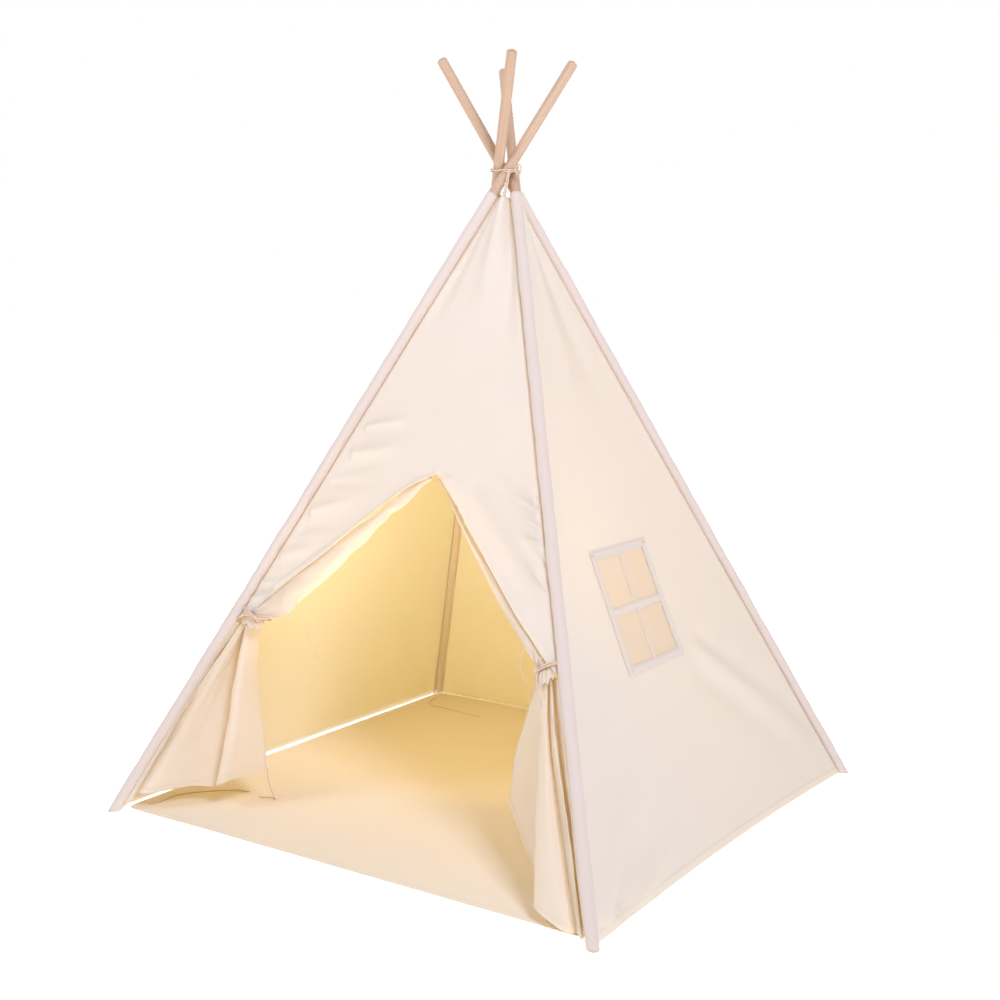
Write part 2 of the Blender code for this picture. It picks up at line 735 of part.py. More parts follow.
def make_mat():
    """The loose floor mat with rounded corners."""
    curve = bpy.data.curves.new("floor_mat", "CURVE")
    curve.dimensions = "2D"
    curve.fill_mode = "BOTH"
    curve.extrude = MAT_THICKNESS / 2
    outline = []
    steps = 5
    inner = MAT_SIZE / 2 - MAT_CORNER
    for k in range(4):
        sx, sy = ((1, 1), (-1, 1), (-1, -1), (1, -1))[k]
        for i in range(steps + 1):
            angle = k * QUARTER + i / steps * QUARTER
            outline.append((sx * inner + MAT_CORNER * cos(angle), sy * inner + MAT_CORNER * sin(angle)))
    run = curve.splines.new("POLY")
    run.points.add(len(outline) - 1)
    for point, (x, y) in zip(run.points, outline):
        point.co = (x, y, MAT_THICKNESS / 2, 1)
    run.use_cyclic_u = True
    guide = bpy.data.objects.new("floor_mat_guide", curve)
    PARTS.objects.link(guide)
    seen = guide.evaluated_get(bpy.context.evaluated_depsgraph_get())
    mesh = bpy.data.meshes.new_from_object(seen)
    bpy.data.objects.remove(guide, do_unlink=True)
    bm = bmesh.new()
    bm.from_mesh(mesh)
    bmesh.ops.remove_doubles(bm, verts=bm.verts, dist=CLEARANCE / 10)
    bm.to_mesh(mesh)
    bm.free()
    return as_object("floor_mat", mesh, MAT)


def make_all():
    floor_size = 4 * FOOT_REACH
    floor = cutter_box("floor_cutter", (floor_size, floor_size, floor_size / 2),
                       Matrix.Translation((0, 0, -floor_size / 4)))
    crossing_matrix = Matrix.Translation((0, 0, CROSS_HEIGHT))
    crossing = holder("crossing_lift", crossing_matrix)
    bpy.context.view_layer.update()
    poles = []
    for index, corner in enumerate(CORNERS):
        matrix = pole_matrix(index)
        hinge = holder(f"hinge_{corner}", matrix, crossing, crossing_matrix)
        poles.append((hinge, matrix))
        make_pole(index, hinge, matrix)
        make_sleeve(index, hinge, matrix, floor)
    walls = [holder(f"hang_{name}", crossing_matrix, crossing, crossing_matrix) for name in PANELS]
    make_front(walls[0], crossing_matrix)
    right = make_wall(1, walls[1], crossing_matrix)
    make_wall(2, walls[2], crossing_matrix)
    make_wall(3, walls[3], crossing_matrix)
    cut(right, make_window(walls[1], crossing_matrix))
    for side, word, shares, bulge in (
        (-1, "left", LEFT_HEM_SHARES, LEFT_BULGE_SHARE),
        (1, "right", RIGHT_HEM_SHARES, RIGHT_BULGE_SHARE),
    ):
        make_roll(side, f"door_roll_{word}", walls[0], crossing_matrix)
        make_tie(side, word, walls[0], crossing_matrix)
        hinge, matrix = poles[0 if side < 0 else 1]
        make_flap(side, f"door_flap_{word}", shares, bulge, hinge, matrix)
    winding = make_lashing(crossing, crossing_matrix)
    make_lashing_ends(winding, crossing, crossing_matrix)
    hinge, matrix = poles[0]
    tie = tube("flap_tie_left", smooth_route([Vector(p) for p in FLAP_TIE_ROUTE], 3), MAT_TIE_RADIUS, CORD)
    hold(tie, hinge, matrix)
    make_mat()
    make_mat_ties()


make_all()
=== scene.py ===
from contextlib import contextmanager
from math import atan2, cos, hypot, pi, radians, sin, sqrt, tau

import bmesh
import bpy
import numpy as np
from mathutils import Matrix, Vector


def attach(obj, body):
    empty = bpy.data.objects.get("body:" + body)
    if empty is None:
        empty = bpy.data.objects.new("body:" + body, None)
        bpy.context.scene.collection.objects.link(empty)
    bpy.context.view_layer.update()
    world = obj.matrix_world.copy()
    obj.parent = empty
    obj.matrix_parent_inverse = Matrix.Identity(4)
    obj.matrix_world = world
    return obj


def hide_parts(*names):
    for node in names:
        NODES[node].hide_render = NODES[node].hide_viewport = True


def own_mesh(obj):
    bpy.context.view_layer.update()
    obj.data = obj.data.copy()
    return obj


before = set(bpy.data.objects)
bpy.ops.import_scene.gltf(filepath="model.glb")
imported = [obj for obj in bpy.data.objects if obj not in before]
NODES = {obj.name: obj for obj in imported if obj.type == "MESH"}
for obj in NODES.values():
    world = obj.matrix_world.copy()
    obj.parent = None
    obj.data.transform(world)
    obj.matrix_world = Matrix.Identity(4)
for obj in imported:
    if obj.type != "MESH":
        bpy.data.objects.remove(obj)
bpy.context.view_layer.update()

# Sizes of the frame, in metres, as in the CAD
CROSS_HEIGHT = 1.371        # where the poles cross, above the floor
FOOT_REACH = 0.837          # a pole's foot from its own hinge, measured along the floor
POLE_RADIUS = 0.011
CLEARANCE = 0.0003
SLEEVE_RADIUS = 0.0126
SLEEVE_TOP = 0.058          # a pocket's upper end, below the crossing along the pole
PANEL_TOP = 0.066           # a panel's upper edge, measured the same way
HEM_CORNER = 0.004          # the hem above the floor at the poles
HEM_ARCH = 0.011            # how much higher the hem is half way between them
PANEL_BELLY = 0.010         # how far a panel hangs inwards half way down
TIE_HEIGHT = 0.415
WINDOW_WIDTH = 0.240
WINDOW_HEIGHT = 0.262
WINDOW_MIDDLE = 0.488
WINDOW_SHIFT = 0.062
FRAME_STRIP = 0.019
BAR_WIDE = 0.016
BAR_NARROW = 0.010
CORD_RADIUS = 0.0015
TIE_RADIUS = 0.0017
THREAD_RADIUS = 0.0009
MAT_SIZE = 1.140
MAT_THICKNESS = 0.003
MAT_TIE_RADIUS = 0.0012
CLOTH = 0.0009              # thickness of the panels, drapes and mat that show
THIN_CLOTH = 0.0008         # thickness of the pockets, strips and skirts
VOILE_THICKNESS = 0.0005
FLOOR_GAP = 0.0006          # the lowest that a pocket's foot reaches
CORD_SIDES = 10

CORNERS = ("front_left", "front_right", "back_right", "back_left")
SIDES = ("front", "right", "back", "left")
FRONT, RIGHT, BACK, LEFT = range(4)
QUARTER = pi / 2
TILT = atan2(FOOT_REACH, CROSS_HEIGHT)
POLE_REACH = hypot(FOOT_REACH, CROSS_HEIGHT)
TWIST = (2 * POLE_RADIUS + CLEARANCE) * sqrt(2 * cos(TILT) ** 2 + sin(TILT) ** 2) / (2 * cos(TILT))
PANEL_LEAN = atan2(sin(TILT) / sqrt(2), cos(TILT))


def table(text, per_metre=10000):
    """Points in metres, from text with their numbers in tenths of a millimetre, or in whole ones."""
    return np.array([point.split() for point in text.split(",")], float) / per_metre


MAT_TIE_ROUTES = {
    "front_left": table("""
        -553 -530, -545 -505, -548 -478, -546 -452, -536 -428, -521 -406, -503 -386, -483 -367,
        -461 -350, -434 -342""", 1000),
    "front_right": table("""
        553 -530, 545 -545, 526 -555, 502 -558, 480 -552, 463 -536, 452 -514, 436 -497""", 1000),
    "back_right": table("553 530, 530 519, 505 513, 480 502, 461 483, 449 460, 432 440", 1000),
    "back_left": table("""
        -553 530, -549 507, -540 485, -524 469, -500 464, -475 464, -447 462, -420 457, -386 452,
        -351 452""", 1000),
}
FLAP_TIE_ROUTE = table("""
    -3516 -3726 819, -3506 -3716 600, -3478 -3672 380, -3462 -3586 180, -3500 -3486 66,
    -3602 -3424 47, -3750 -3452 47, -3912 -3556 47""")

# Where the door's free edge runs on the front panel: across it, and reach below the crossing
DOOR_EDGE = table("""
    -3985 11201, -3558 10950, -3362 10703, -3049 10377, -2635 9945, -2219 9541, -1815 9117,
    -1521 8780, -1216 8490, -822 8077, -420 7712, -222 7571, -22 7440, 79 7358, 140 7342,
    210 7362, 310 7430, 488 7605, 622 7729, 896 8020, 1248 8432, 1584 8793, 1920 9170, 2251 9540,
    2576 9904, 2892 10241, 3186 10512, 3482 10800, 3737 11027, 3985 11201""")
# The turned-back bands: their lower edges, and how far their upper edges lie below the door's
BAND_EDGES = {
    "left": table("""
        30 7440, -180 7640, -356 7915, -549 8142, -757 8303, -842 8451, -1031 8680, -1202 8977,
        -1499 9291, -1678 9568, -1966 9930, -2243 10246, -2514 10539, -2656 10746, -2712 10870,
        -2868 10944, -3065 11019, -3265 11091, -3456 11107, -3578 11077"""),
    "right": table("""
        190 7420, 430 7660, 630 7933, 1011 8435, 1367 8863, 1706 9240, 2045 9632, 2379 10017,
        2691 10334, 2999 10646, 3297 10933, 3470 11091, 3561 11189"""),
}
BAND_GAPS = {
    "left": table("0 -6, 30 -10, 60 -9, 80 -3, 105 -1, 130 -5, 155 -10, 400 -12", 1000),
    "right": table("0 2, 30 6, 60 12, 110 12, 170 9, 230 6, 400 4", 1000),
}
# Where the tied cloth narrows: the tie's span on the front panel, and the pleats below it
TIE_SPANS = {
    "left": table("-3797 10930, -3391 11133"),
    "right": table("3875 10974, 3548 11181"),
}
KNOTS = {"left": (-0.3643, 1.1051), "right": (0.3538, 1.1183)}
SKIRT_TOPS = {
    "left": table("""
        -3824 -4057 4218, -3726 -4071 4234, -3632 -4079 4237, -3551 -4074 4225, -3505 -4062 4208,
        -3493 -4029 4192, -3526 -3993 4182"""),
    "right": table("""
        3869 -4040 4258, 3823 -4071 4257, 3757 -4088 4241, 3683 -4091 4211, 3619 -4075 4179,
        3557 -4027 4150, 3514 -3975 4132"""),
}
SKIRT_HEMS = {
    "left": table("""
        -3915 -4149 3960, -3710 -4183 3951, -3504 -4189 3960, -3312 -4151 4001, -3178 -4081 4072,
        -3086 -3995 4155, -3037 -3892 4230"""),
    "right": table("""
        4008 -4115 3991, 3946 -4189 3959, 3857 -4219 3913, 3737 -4219 3913, 3621 -4207 3873,
        3504 -4126 3875, 3429 -4024 3879"""),
}
# The hanging lower door panels: rows from the tie to the hem, columns from the seam to the free edge
LEFT_DRAPE = table("""
    -396 -398 407, -389 -404 413, -388 -396 406, -393 -388 406, -399 -378 402, -398 -374 403,
    -390 -395 401, -381 -399 401, -375 -392 403, -370 -382 406, -366 -371 409,
    -453 -441 302, -439 -442 314, -431 -430 305, -432 -410 301, -429 -386 297, -420 -380 297,
    -403 -413 298, -385 -417 299, -379 -405 299, -378 -387 298, -378 -375 293,
    -500 -500 178, -519 -485 183, -487 -486 178, -466 -441 175, -441 -406 165, -429 -397 165,
    -412 -434 172, -389 -436 177, -379 -419 179, -369 -395 179, -362 -374 185,
    -564 -569 22, -601 -541 34, -540 -556 38, -481 -477 45, -444 -435 39, -431 -418 43,
    -422 -458 52, -400 -457 63, -386 -434 70, -368 -404 77, -350 -376 84""", 1000).reshape(4, -1, 3)
RIGHT_DRAPE = table("""
    377 -387 405, 381 -401 411, 365 -382 403, 369 -395 410, 363 -396 411, 352 -392 406,
    350 -372 402, 342 -370 398, 336 -371 396, 334 -374 394,
    419 -432 300, 423 -452 306, 402 -430 293, 402 -442 292, 398 -446 293, 380 -434 286,
    363 -389 276, 335 -373 294, 313 -366 301, 305 -357 317,
    483 -493 160, 491 -513 168, 464 -486 153, 458 -500 153, 445 -510 153, 411 -495 145,
    400 -442 142, 344 -404 162, 305 -378 183, 276 -357 216,
    557 -565 7, 563 -582 7, 541 -560 7, 536 -575 8, 508 -576 14, 448 -553 29, 441 -495 27,
    366 -439 64, 319 -402 93, 271 -364 130""", 1000).reshape(4, -1, 3)
# Height of a drape's seam with its pocket, at each of its rows
SEAM_HEIGHTS = (0.408, 0.290, 0.160, 0.008)
TIE_TAILS = {
    "left": table("""
        -3455 -4126 4262, -3283 -4137 4302, -3074 -4120 4335, -2940 -4110 4338, -2846 -4100 4330"""),
    "right": table("3568 -4100 4124, 3596 -4171 3956, 3693 -4266 3783, 3799 -4326 3642, 3844 -4361 3563"),
}
THREAD_TAILS = {
    "left": table("""
        -2547 -3877 4635, -2397 -3955 4455, -2231 -4022 4255, -2047 -4078 4079, -1872 -4125 3922,
        -1710 -4190 3726, -1630 -4230 3640"""),
    "right": table("""
        3122 -3877 4470, 3087 -3922 4346, 3093 -3962 4161, 3180 -3986 3967, 3243 -3902 3745,
        3160 -3657 3502, 3100 -3520 3400"""),
}


def add_object(name, data):
    made = bpy.data.objects.new(name, data)
    bpy.context.scene.collection.objects.link(made)
    return made


# Materials

def linear(*rgb):
    """A colour read as 0 to 255 on a screen, as the light it stands for."""
    return tuple(((value / 255 + 0.055) / 1.055) ** 2.4 for value in rgb)


class Value:
    """One output of a node, whose sums and products are written as for numbers."""

    def __init__(self, nodes, socket):
        self.nodes, self.socket = nodes, socket

    def __add__(self, other):
        return self.nodes.math("ADD", self, other)

    def __sub__(self, other):
        return self.nodes.math("SUBTRACT", self, other)

    def __mul__(self, other):
        return self.nodes.math("MULTIPLY", self, other)

    def __abs__(self):
        return self.nodes.math("ABSOLUTE", self)


class Nodes:
    """A short way to write a node tree: each call adds a node and returns its first output."""

    def __init__(self, name):
        self.material = bpy.data.materials.new(name)
        self.material.use_nodes = True
        self.tree = self.material.node_tree
        self.tree.nodes.clear()
        self.result = self.tree.nodes.new("ShaderNodeOutputMaterial")

    def add(self, kind, settings=None, output=0, **inputs):
        made = self.tree.nodes.new("ShaderNode" + kind)
        for key, value in (settings or {}).items():
            setattr(made, key, value)
        for key, value in inputs.items():
            socket = made.inputs[int(key[1:])] if key[0] == "_" else made.inputs[key.replace("_", " ")]
            if isinstance(value, Value):
                self.tree.links.new(value.socket, socket)
            else:
                socket.default_value = value
        return Value(self, made.outputs[output])

    def math(self, operation, *values):
        return self.add("Math", {"operation": operation}, **{f"_{i}": v for i, v in enumerate(values)})

    def mix(self, share, first, second):
        return self.add("Mix", {"data_type": "RGBA"}, 2, _0=share, _6=first, _7=second)

    def split(self, place):
        made = self.add("SeparateXYZ", Vector=place).socket.node
        return [Value(self, output) for output in made.outputs]

    def object_place(self):
        return self.add("TexCoord", output=3)

    def noise(self, place, scale, detail=3.0, roughness=0.5):
        return self.add("TexNoise", Vector=place, Scale=scale, Detail=detail, Roughness=roughness)

    def drawn_noise(self, place, detail, stretch, roughness=0.5):
        """Noise drawn out along a direction, by its own scale in each."""
        return self.noise(self.add("Mapping", Vector=place, Scale=stretch), 1.0, detail, roughness)

    def finish(self, shader):
        self.tree.links.new(shader.socket, self.result.inputs["Surface"])
        return self.material


def shade(colour, factor=1.0):
    """A colour made darker or lighter, with its alpha, as a socket takes it."""
    return (*(min(1.0, part * factor) for part in colour), 1.0)


WHITE = (1.0, 1.0, 1.0, 1.0)
SEAM_PAINTED_SHADE = (0.66, 0.45, 0.22)    # painted shade: the warm colour of the shaded valley beside a pocket, painted into the cloth
SEAM_SHADE_NEAR, SEAM_SHADE_FAR = 0.0015, 0.0055    # the painted shade fades out between these distances from the pocket
YARN = 0.0011               # spacing of the canvas yarns
STITCH = 0.0036             # length of one stitch and its gap
STITCH_WIDTH = 0.0007


def stitch_line(n, distance, along, place):
    """1 on the stitches of one row of topstitching, else 0."""
    near = n.math("LESS_THAN", abs(distance - place), STITCH_WIDTH)
    return near * n.math("GREATER_THAN", n.math("SINE", along * (tau / STITCH)), -0.5)


def cotton(name, colour, glow, glow_share, rows=(), side_rows=(), crease=0.35, seam=0.0):
    """Plain-woven cotton: yarns, slubs, faint creases, topstitching, painted shade beside a pocket, and light
    that comes through.
    """
    n = Nodes(name)
    flat, rim = (n.add("UVMap", {"uv_map": layer}) for layer in ("flat", "rim"))
    here = n.object_place()
    across, down = n.split(flat)[:2]
    beside, above = n.split(rim)[:2]
    weave = n.math("SINE", across * (tau / YARN)) * n.math("SINE", down * (tau / YARN))
    slubs = n.drawn_noise(flat, 2.0, (60.0, 900.0, 1.0)) + n.drawn_noise(flat, 2.0, (900.0, 60.0, 1.0))
    blotch = n.noise(here, 5.0)
    creases = n.noise(here, 17.0, 4.0, 0.6)
    base = n.mix(slubs * 0.35 + blotch * 0.3, shade(colour, 0.955), shade(colour, 1.045))
    height = weave * 0.10 + slubs * 0.25 + creases * (crease * 6)
    lines = [stitch_line(n, above, across, place) for place in rows]
    lines += [stitch_line(n, beside, down, place) for place in side_rows]
    if lines:
        stitches = lines[0] if len(lines) < 2 else n.math("MAXIMUM", *lines)
        base = n.mix(stitches * 0.5, base, shade(colour, 0.78))
        height = height - stitches * 0.6
    # painted shade: with seam above 0, the cloth is coloured warm and dark close to a pocket, where the
    # valley beside it lies in shade
    if seam:
        painted_seam_shade = n.add("MapRange", Value=beside, _1=SEAM_SHADE_NEAR, _2=SEAM_SHADE_FAR, _3=seam, _4=0.0)
        base = n.mix(painted_seam_shade, base, shade(SEAM_PAINTED_SHADE))
    normal = n.add("Bump", Strength=0.5, Distance=0.0006, Height=height)
    cloth = n.add("BsdfPrincipled", Base_Color=base, Roughness=0.92, Normal=normal, Sheen_Weight=0.15,
                  Sheen_Roughness=0.6, Specular_IOR_Level=0.2)
    through = n.add("BsdfTranslucent", Color=shade(glow), Normal=normal)
    return n.finish(n.add("MixShader", _0=glow_share, _1=cloth, _2=through))


def along_pole(n):
    """Places round and along a pole: folded about the crossing, where all four poles become one."""
    x, y, z = n.split(n.object_place())
    x, y, z = abs(x), abs(y), abs(z - CROSS_HEIGHT)
    out = (x + y) * (1 / sqrt(2))
    over = out * cos(TILT) - z * sin(TILT)
    along = out * sin(TILT) + z * cos(TILT)
    return n.add("CombineXYZ", X=(x - y) * (1 / sqrt(2)), Y=over, Z=along)


def wood(name):
    """Sanded beech: straight fine grain along the pole, short flecks and faint pores."""
    n = Nodes(name)
    here = along_pole(n)
    grain = n.drawn_noise(here, 3.0, (330.0, 330.0, 8.0))
    broad = n.drawn_noise(here, 2.0, (60.0, 60.0, 3.0))
    fleck = n.math("GREATER_THAN", n.drawn_noise(here, 1.0, (1500.0, 1500.0, 160.0)), 0.73)
    ramp = n.add("ValToRGB", Fac=grain * 0.6 + broad * 0.4)
    stops = ramp.socket.node.color_ramp.elements
    stops[0].position, stops[0].color = 0.30, shade(linear(191, 157, 131))
    stops[1].position, stops[1].color = 0.72, shade(linear(208, 180, 155))
    base = n.mix(fleck * 0.10, ramp, shade(linear(188, 146, 112)))
    normal = n.add("Bump", Strength=0.06, Distance=0.0001, Height=grain)
    return n.finish(n.add("BsdfPrincipled", Base_Color=base, Roughness=broad * 0.14 + 0.46, Normal=normal))


def steel(name):
    n = Nodes(name)
    drawn = n.drawn_noise(n.object_place(), 3.0, (700.0, 700.0, 18.0), 0.6)
    base = n.mix(drawn, shade(linear(176, 177, 180)), shade(linear(214, 214, 216)))
    return n.finish(n.add("BsdfPrincipled", Base_Color=base, Roughness=drawn * 0.16 + 0.24, Metallic=1.0))


def cord_cotton(name, colour):
    """Thin woven cotton cord: small slanting strands and loose fibres."""
    n = Nodes(name)
    here = n.object_place()
    strands = n.add("TexWave", {"bands_direction": "DIAGONAL"}, Vector=here, Scale=150.0, Distortion=3.0)
    base = n.mix(strands * 0.6, shade(colour, 0.82), shade(colour, 1.08))
    normal = n.add("Bump", Strength=0.6, Distance=0.0004, Height=strands + n.noise(here, 900.0, 2.0) * 0.5)
    return n.finish(n.add("BsdfPrincipled", Base_Color=base, Roughness=0.9, Normal=normal, Sheen_Weight=0.2))


OUTER = (0.93, 0.945, 1.0)        # the cover's own colour
GLOW = (0.905, 0.755, 0.40)       # the colour of the light that comes through it
WOOD = wood("beech")
STEEL = steel("ferrule_steel")
# painted shade: the cover's and the door's cotton take the warm shade painted beside their pockets (seam)
COVER = cotton("cover_cotton", OUTER, GLOW, 0.40, rows=(0.014,), seam=0.55)
DOOR = cotton("door_cotton", OUTER, GLOW, 0.40, seam=0.55)
DRAPE = cotton("drape_cotton", (0.945, 0.955, 0.955), (0.98, 0.82, 0.50), 0.47,
               rows=(0.010,), side_rows=(0.004,))
# painted shade: the pocket cotton is a darker, pinker copy of the cover's, with the pole's shade and the wood
# under the cloth painted in
POCKET_PAINTED_SHADE = cotton("pocket_cotton", (0.81, 0.71, 0.66), (0.95, 0.76, 0.54), 0.14, side_rows=(0.005,))
# painted light: the back-left pocket's copy is lighter and yellower, with the tent's warm inner glow painted
# in
BACK_SLEEVE_PAINTED_LIGHT = cotton("back_sleeve_painted_light_cotton", (0.94, 0.86, 0.73), (1.0, 0.80, 0.50), 0.24, side_rows=(0.005,))
TRIM = cotton("trim_cotton", (0.94, 0.90, 0.88), GLOW, 0.32, rows=(0.0035,), side_rows=(0.0035,))
# painted shade: the turned-back band's cotton is a darker, pinker copy of the door's, for the shade that the
# folded band lies in
ROLL_PAINTED_SHADE = cotton("roll_painted_shade_cotton", (0.87, 0.785, 0.70), GLOW, 0.28)
VOILE = cotton("window_voile", linear(238, 227, 215), (0.93, 0.87, 0.78), 0.5, crease=0.15)
MAT = cotton("mat_cotton", (0.93, 0.86, 0.75), GLOW, 0.1, rows=(0.016,), crease=0.3)
CORD = cord_cotton("cotton_cord", linear(232, 208, 188))


# The frame's lines, written for arrays of points

def outward(index):
    angle = -3 * pi / 4 + index * QUARTER - atan2(TWIST, FOOT_REACH)
    return Vector((cos(angle), sin(angle), 0))


def sideways(index):
    out = outward(index)
    return Vector((-out.y, out.x, 0))


def hinge_point(index):
    return sideways(index) * TWIST + Vector((0, 0, CROSS_HEIGHT))


def pole_point(index, reach):
    down = outward(index) * sin(TILT) - Vector((0, 0, cos(TILT)))
    return hinge_point(index) + down * reach


def reach_at(height):
    return (CROSS_HEIGHT - height) / cos(TILT)


def half_chord(reach):
    return np.hypot(TWIST, reach * sin(TILT)) / sqrt(2)


def chord_turn(reach):
    return np.arctan2(TWIST, reach * sin(TILT)) - atan2(TWIST, FOOT_REACH)


def panel_half(reach):
    lean = QUARTER / 2 - np.arctan2(TWIST, reach * sin(TILT))
    half = 1 / np.hypot(np.cos(lean) * cos(TILT) / SLEEVE_RADIUS, np.sin(lean) / SLEEVE_RADIUS)
    return half_chord(reach) - half - CLEARANCE


def panel_place(index, reach, across, proud=0.0):
    """Points of a panel from their reach below the crossing, place across and height off it."""
    reach, across, proud = np.broadcast_arrays(reach, across, proud)
    angle = -QUARTER + index * QUARTER + chord_turn(reach)
    out = np.stack((np.cos(angle), np.sin(angle), 0 * angle), -1)
    along = np.stack((-np.sin(angle), np.cos(angle), 0 * angle), -1)
    up = np.array((0.0, 0.0, 1.0))
    normal = out * cos(PANEL_LEAN) + up * sin(PANEL_LEAN)
    height = CROSS_HEIGHT - reach * cos(TILT)
    return (out * half_chord(reach)[..., None] + up * height[..., None]
            + along * across[..., None] + normal * proud[..., None])


def hem_reach(share, start=HEM_CORNER, end=HEM_CORNER, arch=HEM_ARCH):
    """Reach of a panel's hem, from its height at either pole and its rise between them."""
    return reach_at(start + (end - start) * (1 + share) / 2 + arch * (1 - share ** 2))


def belly(share, down):
    return -PANEL_BELLY * (1 - share ** 2) * np.sin(pi * down)


TIE_REACH = reach_at(TIE_HEIGHT)


# Mesh helpers

def as_piece(name, mesh, finish, body, node):
    """Adds a piece that rides on a body, stands for a CAD node and takes its finish from a slot."""
    made = add_object(name, mesh)
    mesh.materials.append(finish)
    mesh.shade_smooth()
    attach(made, body)
    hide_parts(node)
    return made


def grid_mesh(name, points, flat, rim=None, closed=False):
    """A mesh of quads through a table of points, with the cloth's flat places as its UV map."""
    rows, columns = points.shape[:2]
    index = np.arange(rows * columns).reshape(rows, columns)
    if closed:
        index = np.concatenate((index, index[:, :1]), 1)
    quads = np.stack((index[:-1, :-1], index[1:, :-1], index[1:, 1:], index[:-1, 1:]), -1).reshape(-1, 4)
    mesh = bpy.data.meshes.new(name)
    mesh.from_pydata(points.reshape(-1, 3).tolist(), [], quads.tolist())
    corners = np.array([loop.vertex_index for loop in mesh.loops])
    for layer, values in (("flat", flat), ("rim", flat if rim is None else rim)):
        uv = mesh.uv_layers.new(name=layer)
        uv.data.foreach_set("uv", values.reshape(-1, 2)[corners].astype(np.float32).ravel())
    return mesh


def pair(first, second):
    """Two tables of numbers side by side, as a UV map takes them."""
    return np.stack(np.broadcast_arrays(first, second), -1)


def steps_along(route):
    """The length of each step of a route."""
    return np.linalg.norm(np.diff(np.array(route, float), axis=0), axis=1)


def facing(points):
    """The way that each point of a sheet faces, from its rows and columns."""
    normal = np.cross(np.gradient(points, axis=1), np.gradient(points, axis=0))
    return normal / np.linalg.norm(normal, axis=2, keepdims=True)


def grow(value, over):
    """0 to 1 while a value goes from nothing to a given size."""
    return np.clip(value / over, 0, 1)


@contextmanager
def editing(mesh):
    """Opens a mesh for changes to its faces, and writes them back."""
    bm = bmesh.new()
    bm.from_mesh(mesh)
    yield bm
    bm.to_mesh(mesh)
    bm.free()


def thicken(piece, thickness=CLOTH, offset=0.0):
    step = piece.modifiers.new("cloth", "SOLIDIFY")
    step.thickness = thickness
    step.offset = offset
    return piece


def tube_points(route, radii, sides):
    """Rings of points round a route, with a steady frame from ring to ring."""
    route = np.array(route, float)
    runs = np.gradient(route, axis=0)
    runs /= np.linalg.norm(runs, axis=1)[:, None]
    side = np.cross(runs[0], (0.3, 0.2, 1.0))
    rings = []
    for place, run, radius in zip(route, runs, radii):
        side = side - run * (side @ run)
        side /= np.linalg.norm(side)
        other = np.cross(run, side)
        turns = np.arange(sides) * tau / sides
        rings.append(place + radius * (np.outer(np.cos(turns), side) + np.outer(np.sin(turns), other)))
    return np.array(rings)


def spline(points, parts):
    """A smooth route through rows of numbers, with a given number of steps in each span."""
    points = np.array(points, float)
    ends = np.concatenate((2 * points[:1] - points[1:2], points, 2 * points[-1:] - points[-2:-1]))
    route = []
    for i in range(len(points) - 1):
        a, b, c, d = ends[i:i + 4]
        count = parts[i] if isinstance(parts, list) else parts
        for t in np.arange(count) / count:
            route.append((b * 2 + (c - a) * t + (a * 2 - b * 5 + c * 4 - d) * t ** 2
                          + (b * 3 - a - c * 3 + d) * t ** 3) / 2)
    route.append(points[-1])
    return np.array(route)


def close_ends(mesh, rows, columns):
    """Caps the first and last ring of a tube's mesh."""
    with editing(mesh) as bm:
        bm.verts.ensure_lookup_table()
        bm.faces.new([bm.verts[i] for i in range(columns)])
        bm.faces.new([bm.verts[(rows - 1) * columns + i] for i in reversed(range(columns))])
        bm.normal_update()
        bmesh.ops.recalc_face_normals(bm, faces=bm.faces)


def tube_mesh(name, rings, radius):
    """A tube through rings of points, with its length and its way round as its UV map."""
    count, sides = rings.shape[:2]
    around = np.linspace(0, 1, sides) * tau * radius
    return grid_mesh(name, rings, pair(around, np.linspace(0, 1, count)[:, None]), closed=True)


def strand(route, radius, closed=False):
    """A length of cord as a bare mesh, to be joined with others."""
    rings = tube_points(route, np.full(len(route), radius), CORD_SIDES)
    return tube_mesh("strand", np.concatenate((rings, rings[:1])) if closed else rings, radius)


def tube(name, route, radius, body, node, sides=12, closed=False):
    """A cord along a route as a smooth mesh tube with rounded ends."""
    rings = tube_points(route, np.full(len(route), radius), sides)
    if closed:
        rings = np.concatenate((rings, rings[:1]))
    else:
        first, last = rings[0].mean(0), rings[-1].mean(0)
        rings = np.concatenate(((rings[:1] - first) * 0.5 + first, rings, (rings[-1:] - last) * 0.5 + last))
    mesh = tube_mesh(name, rings, radius)
    if not closed:
        close_ends(mesh, len(rings), sides)
    return as_piece(name, mesh, CORD, body, node)


# Folds in cloth: each is a ridge along a line, with a rounded cross-section that may widen

def ridge(across, reach, start, end, width, height, widen=1.0, fade_start=0.15, fade_end=0.5):
    """How far a fold lifts each point of a panel; a negative height is a valley."""
    ax, ar = start
    run = np.array((end[0] - ax, end[1] - ar))
    length = hypot(*run)
    run = run / length
    along = (across - ax) * run[0] + (reach - ar) * run[1]
    aside = -(across - ax) * run[1] + (reach - ar) * run[0]
    share = np.clip(along / length, 0, 1)
    wide = width * (1 + (widen - 1) * share)
    past = np.where(along < 0, along, np.where(along > length, along - length, 0.0))
    profile = np.exp(-(aside ** 2 + past ** 2) / wide ** 2)
    rise = grow(share, fade_start) if fade_start else 1.0
    fall = grow(1 - share, fade_end) if fade_end else 1.0
    ease = rise * rise * (3 - 2 * rise) * fall * fall * (3 - 2 * fall)
    return height * profile * ease * FOLD_DEPTH


def waves(seed, across, reach, scale, height):
    """A slow, smooth unevenness from a few sine waves with seeded directions."""
    dice = np.random.default_rng(seed)
    total = np.zeros(np.broadcast(across, reach).shape)
    for _ in range(7):
        angle, phase = dice.uniform(0, tau, 2)
        size = scale * dice.uniform(0.6, 1.7)
        total += np.sin((across * cos(angle) + reach * sin(angle)) * tau / size + phase)
    return total * height / 4


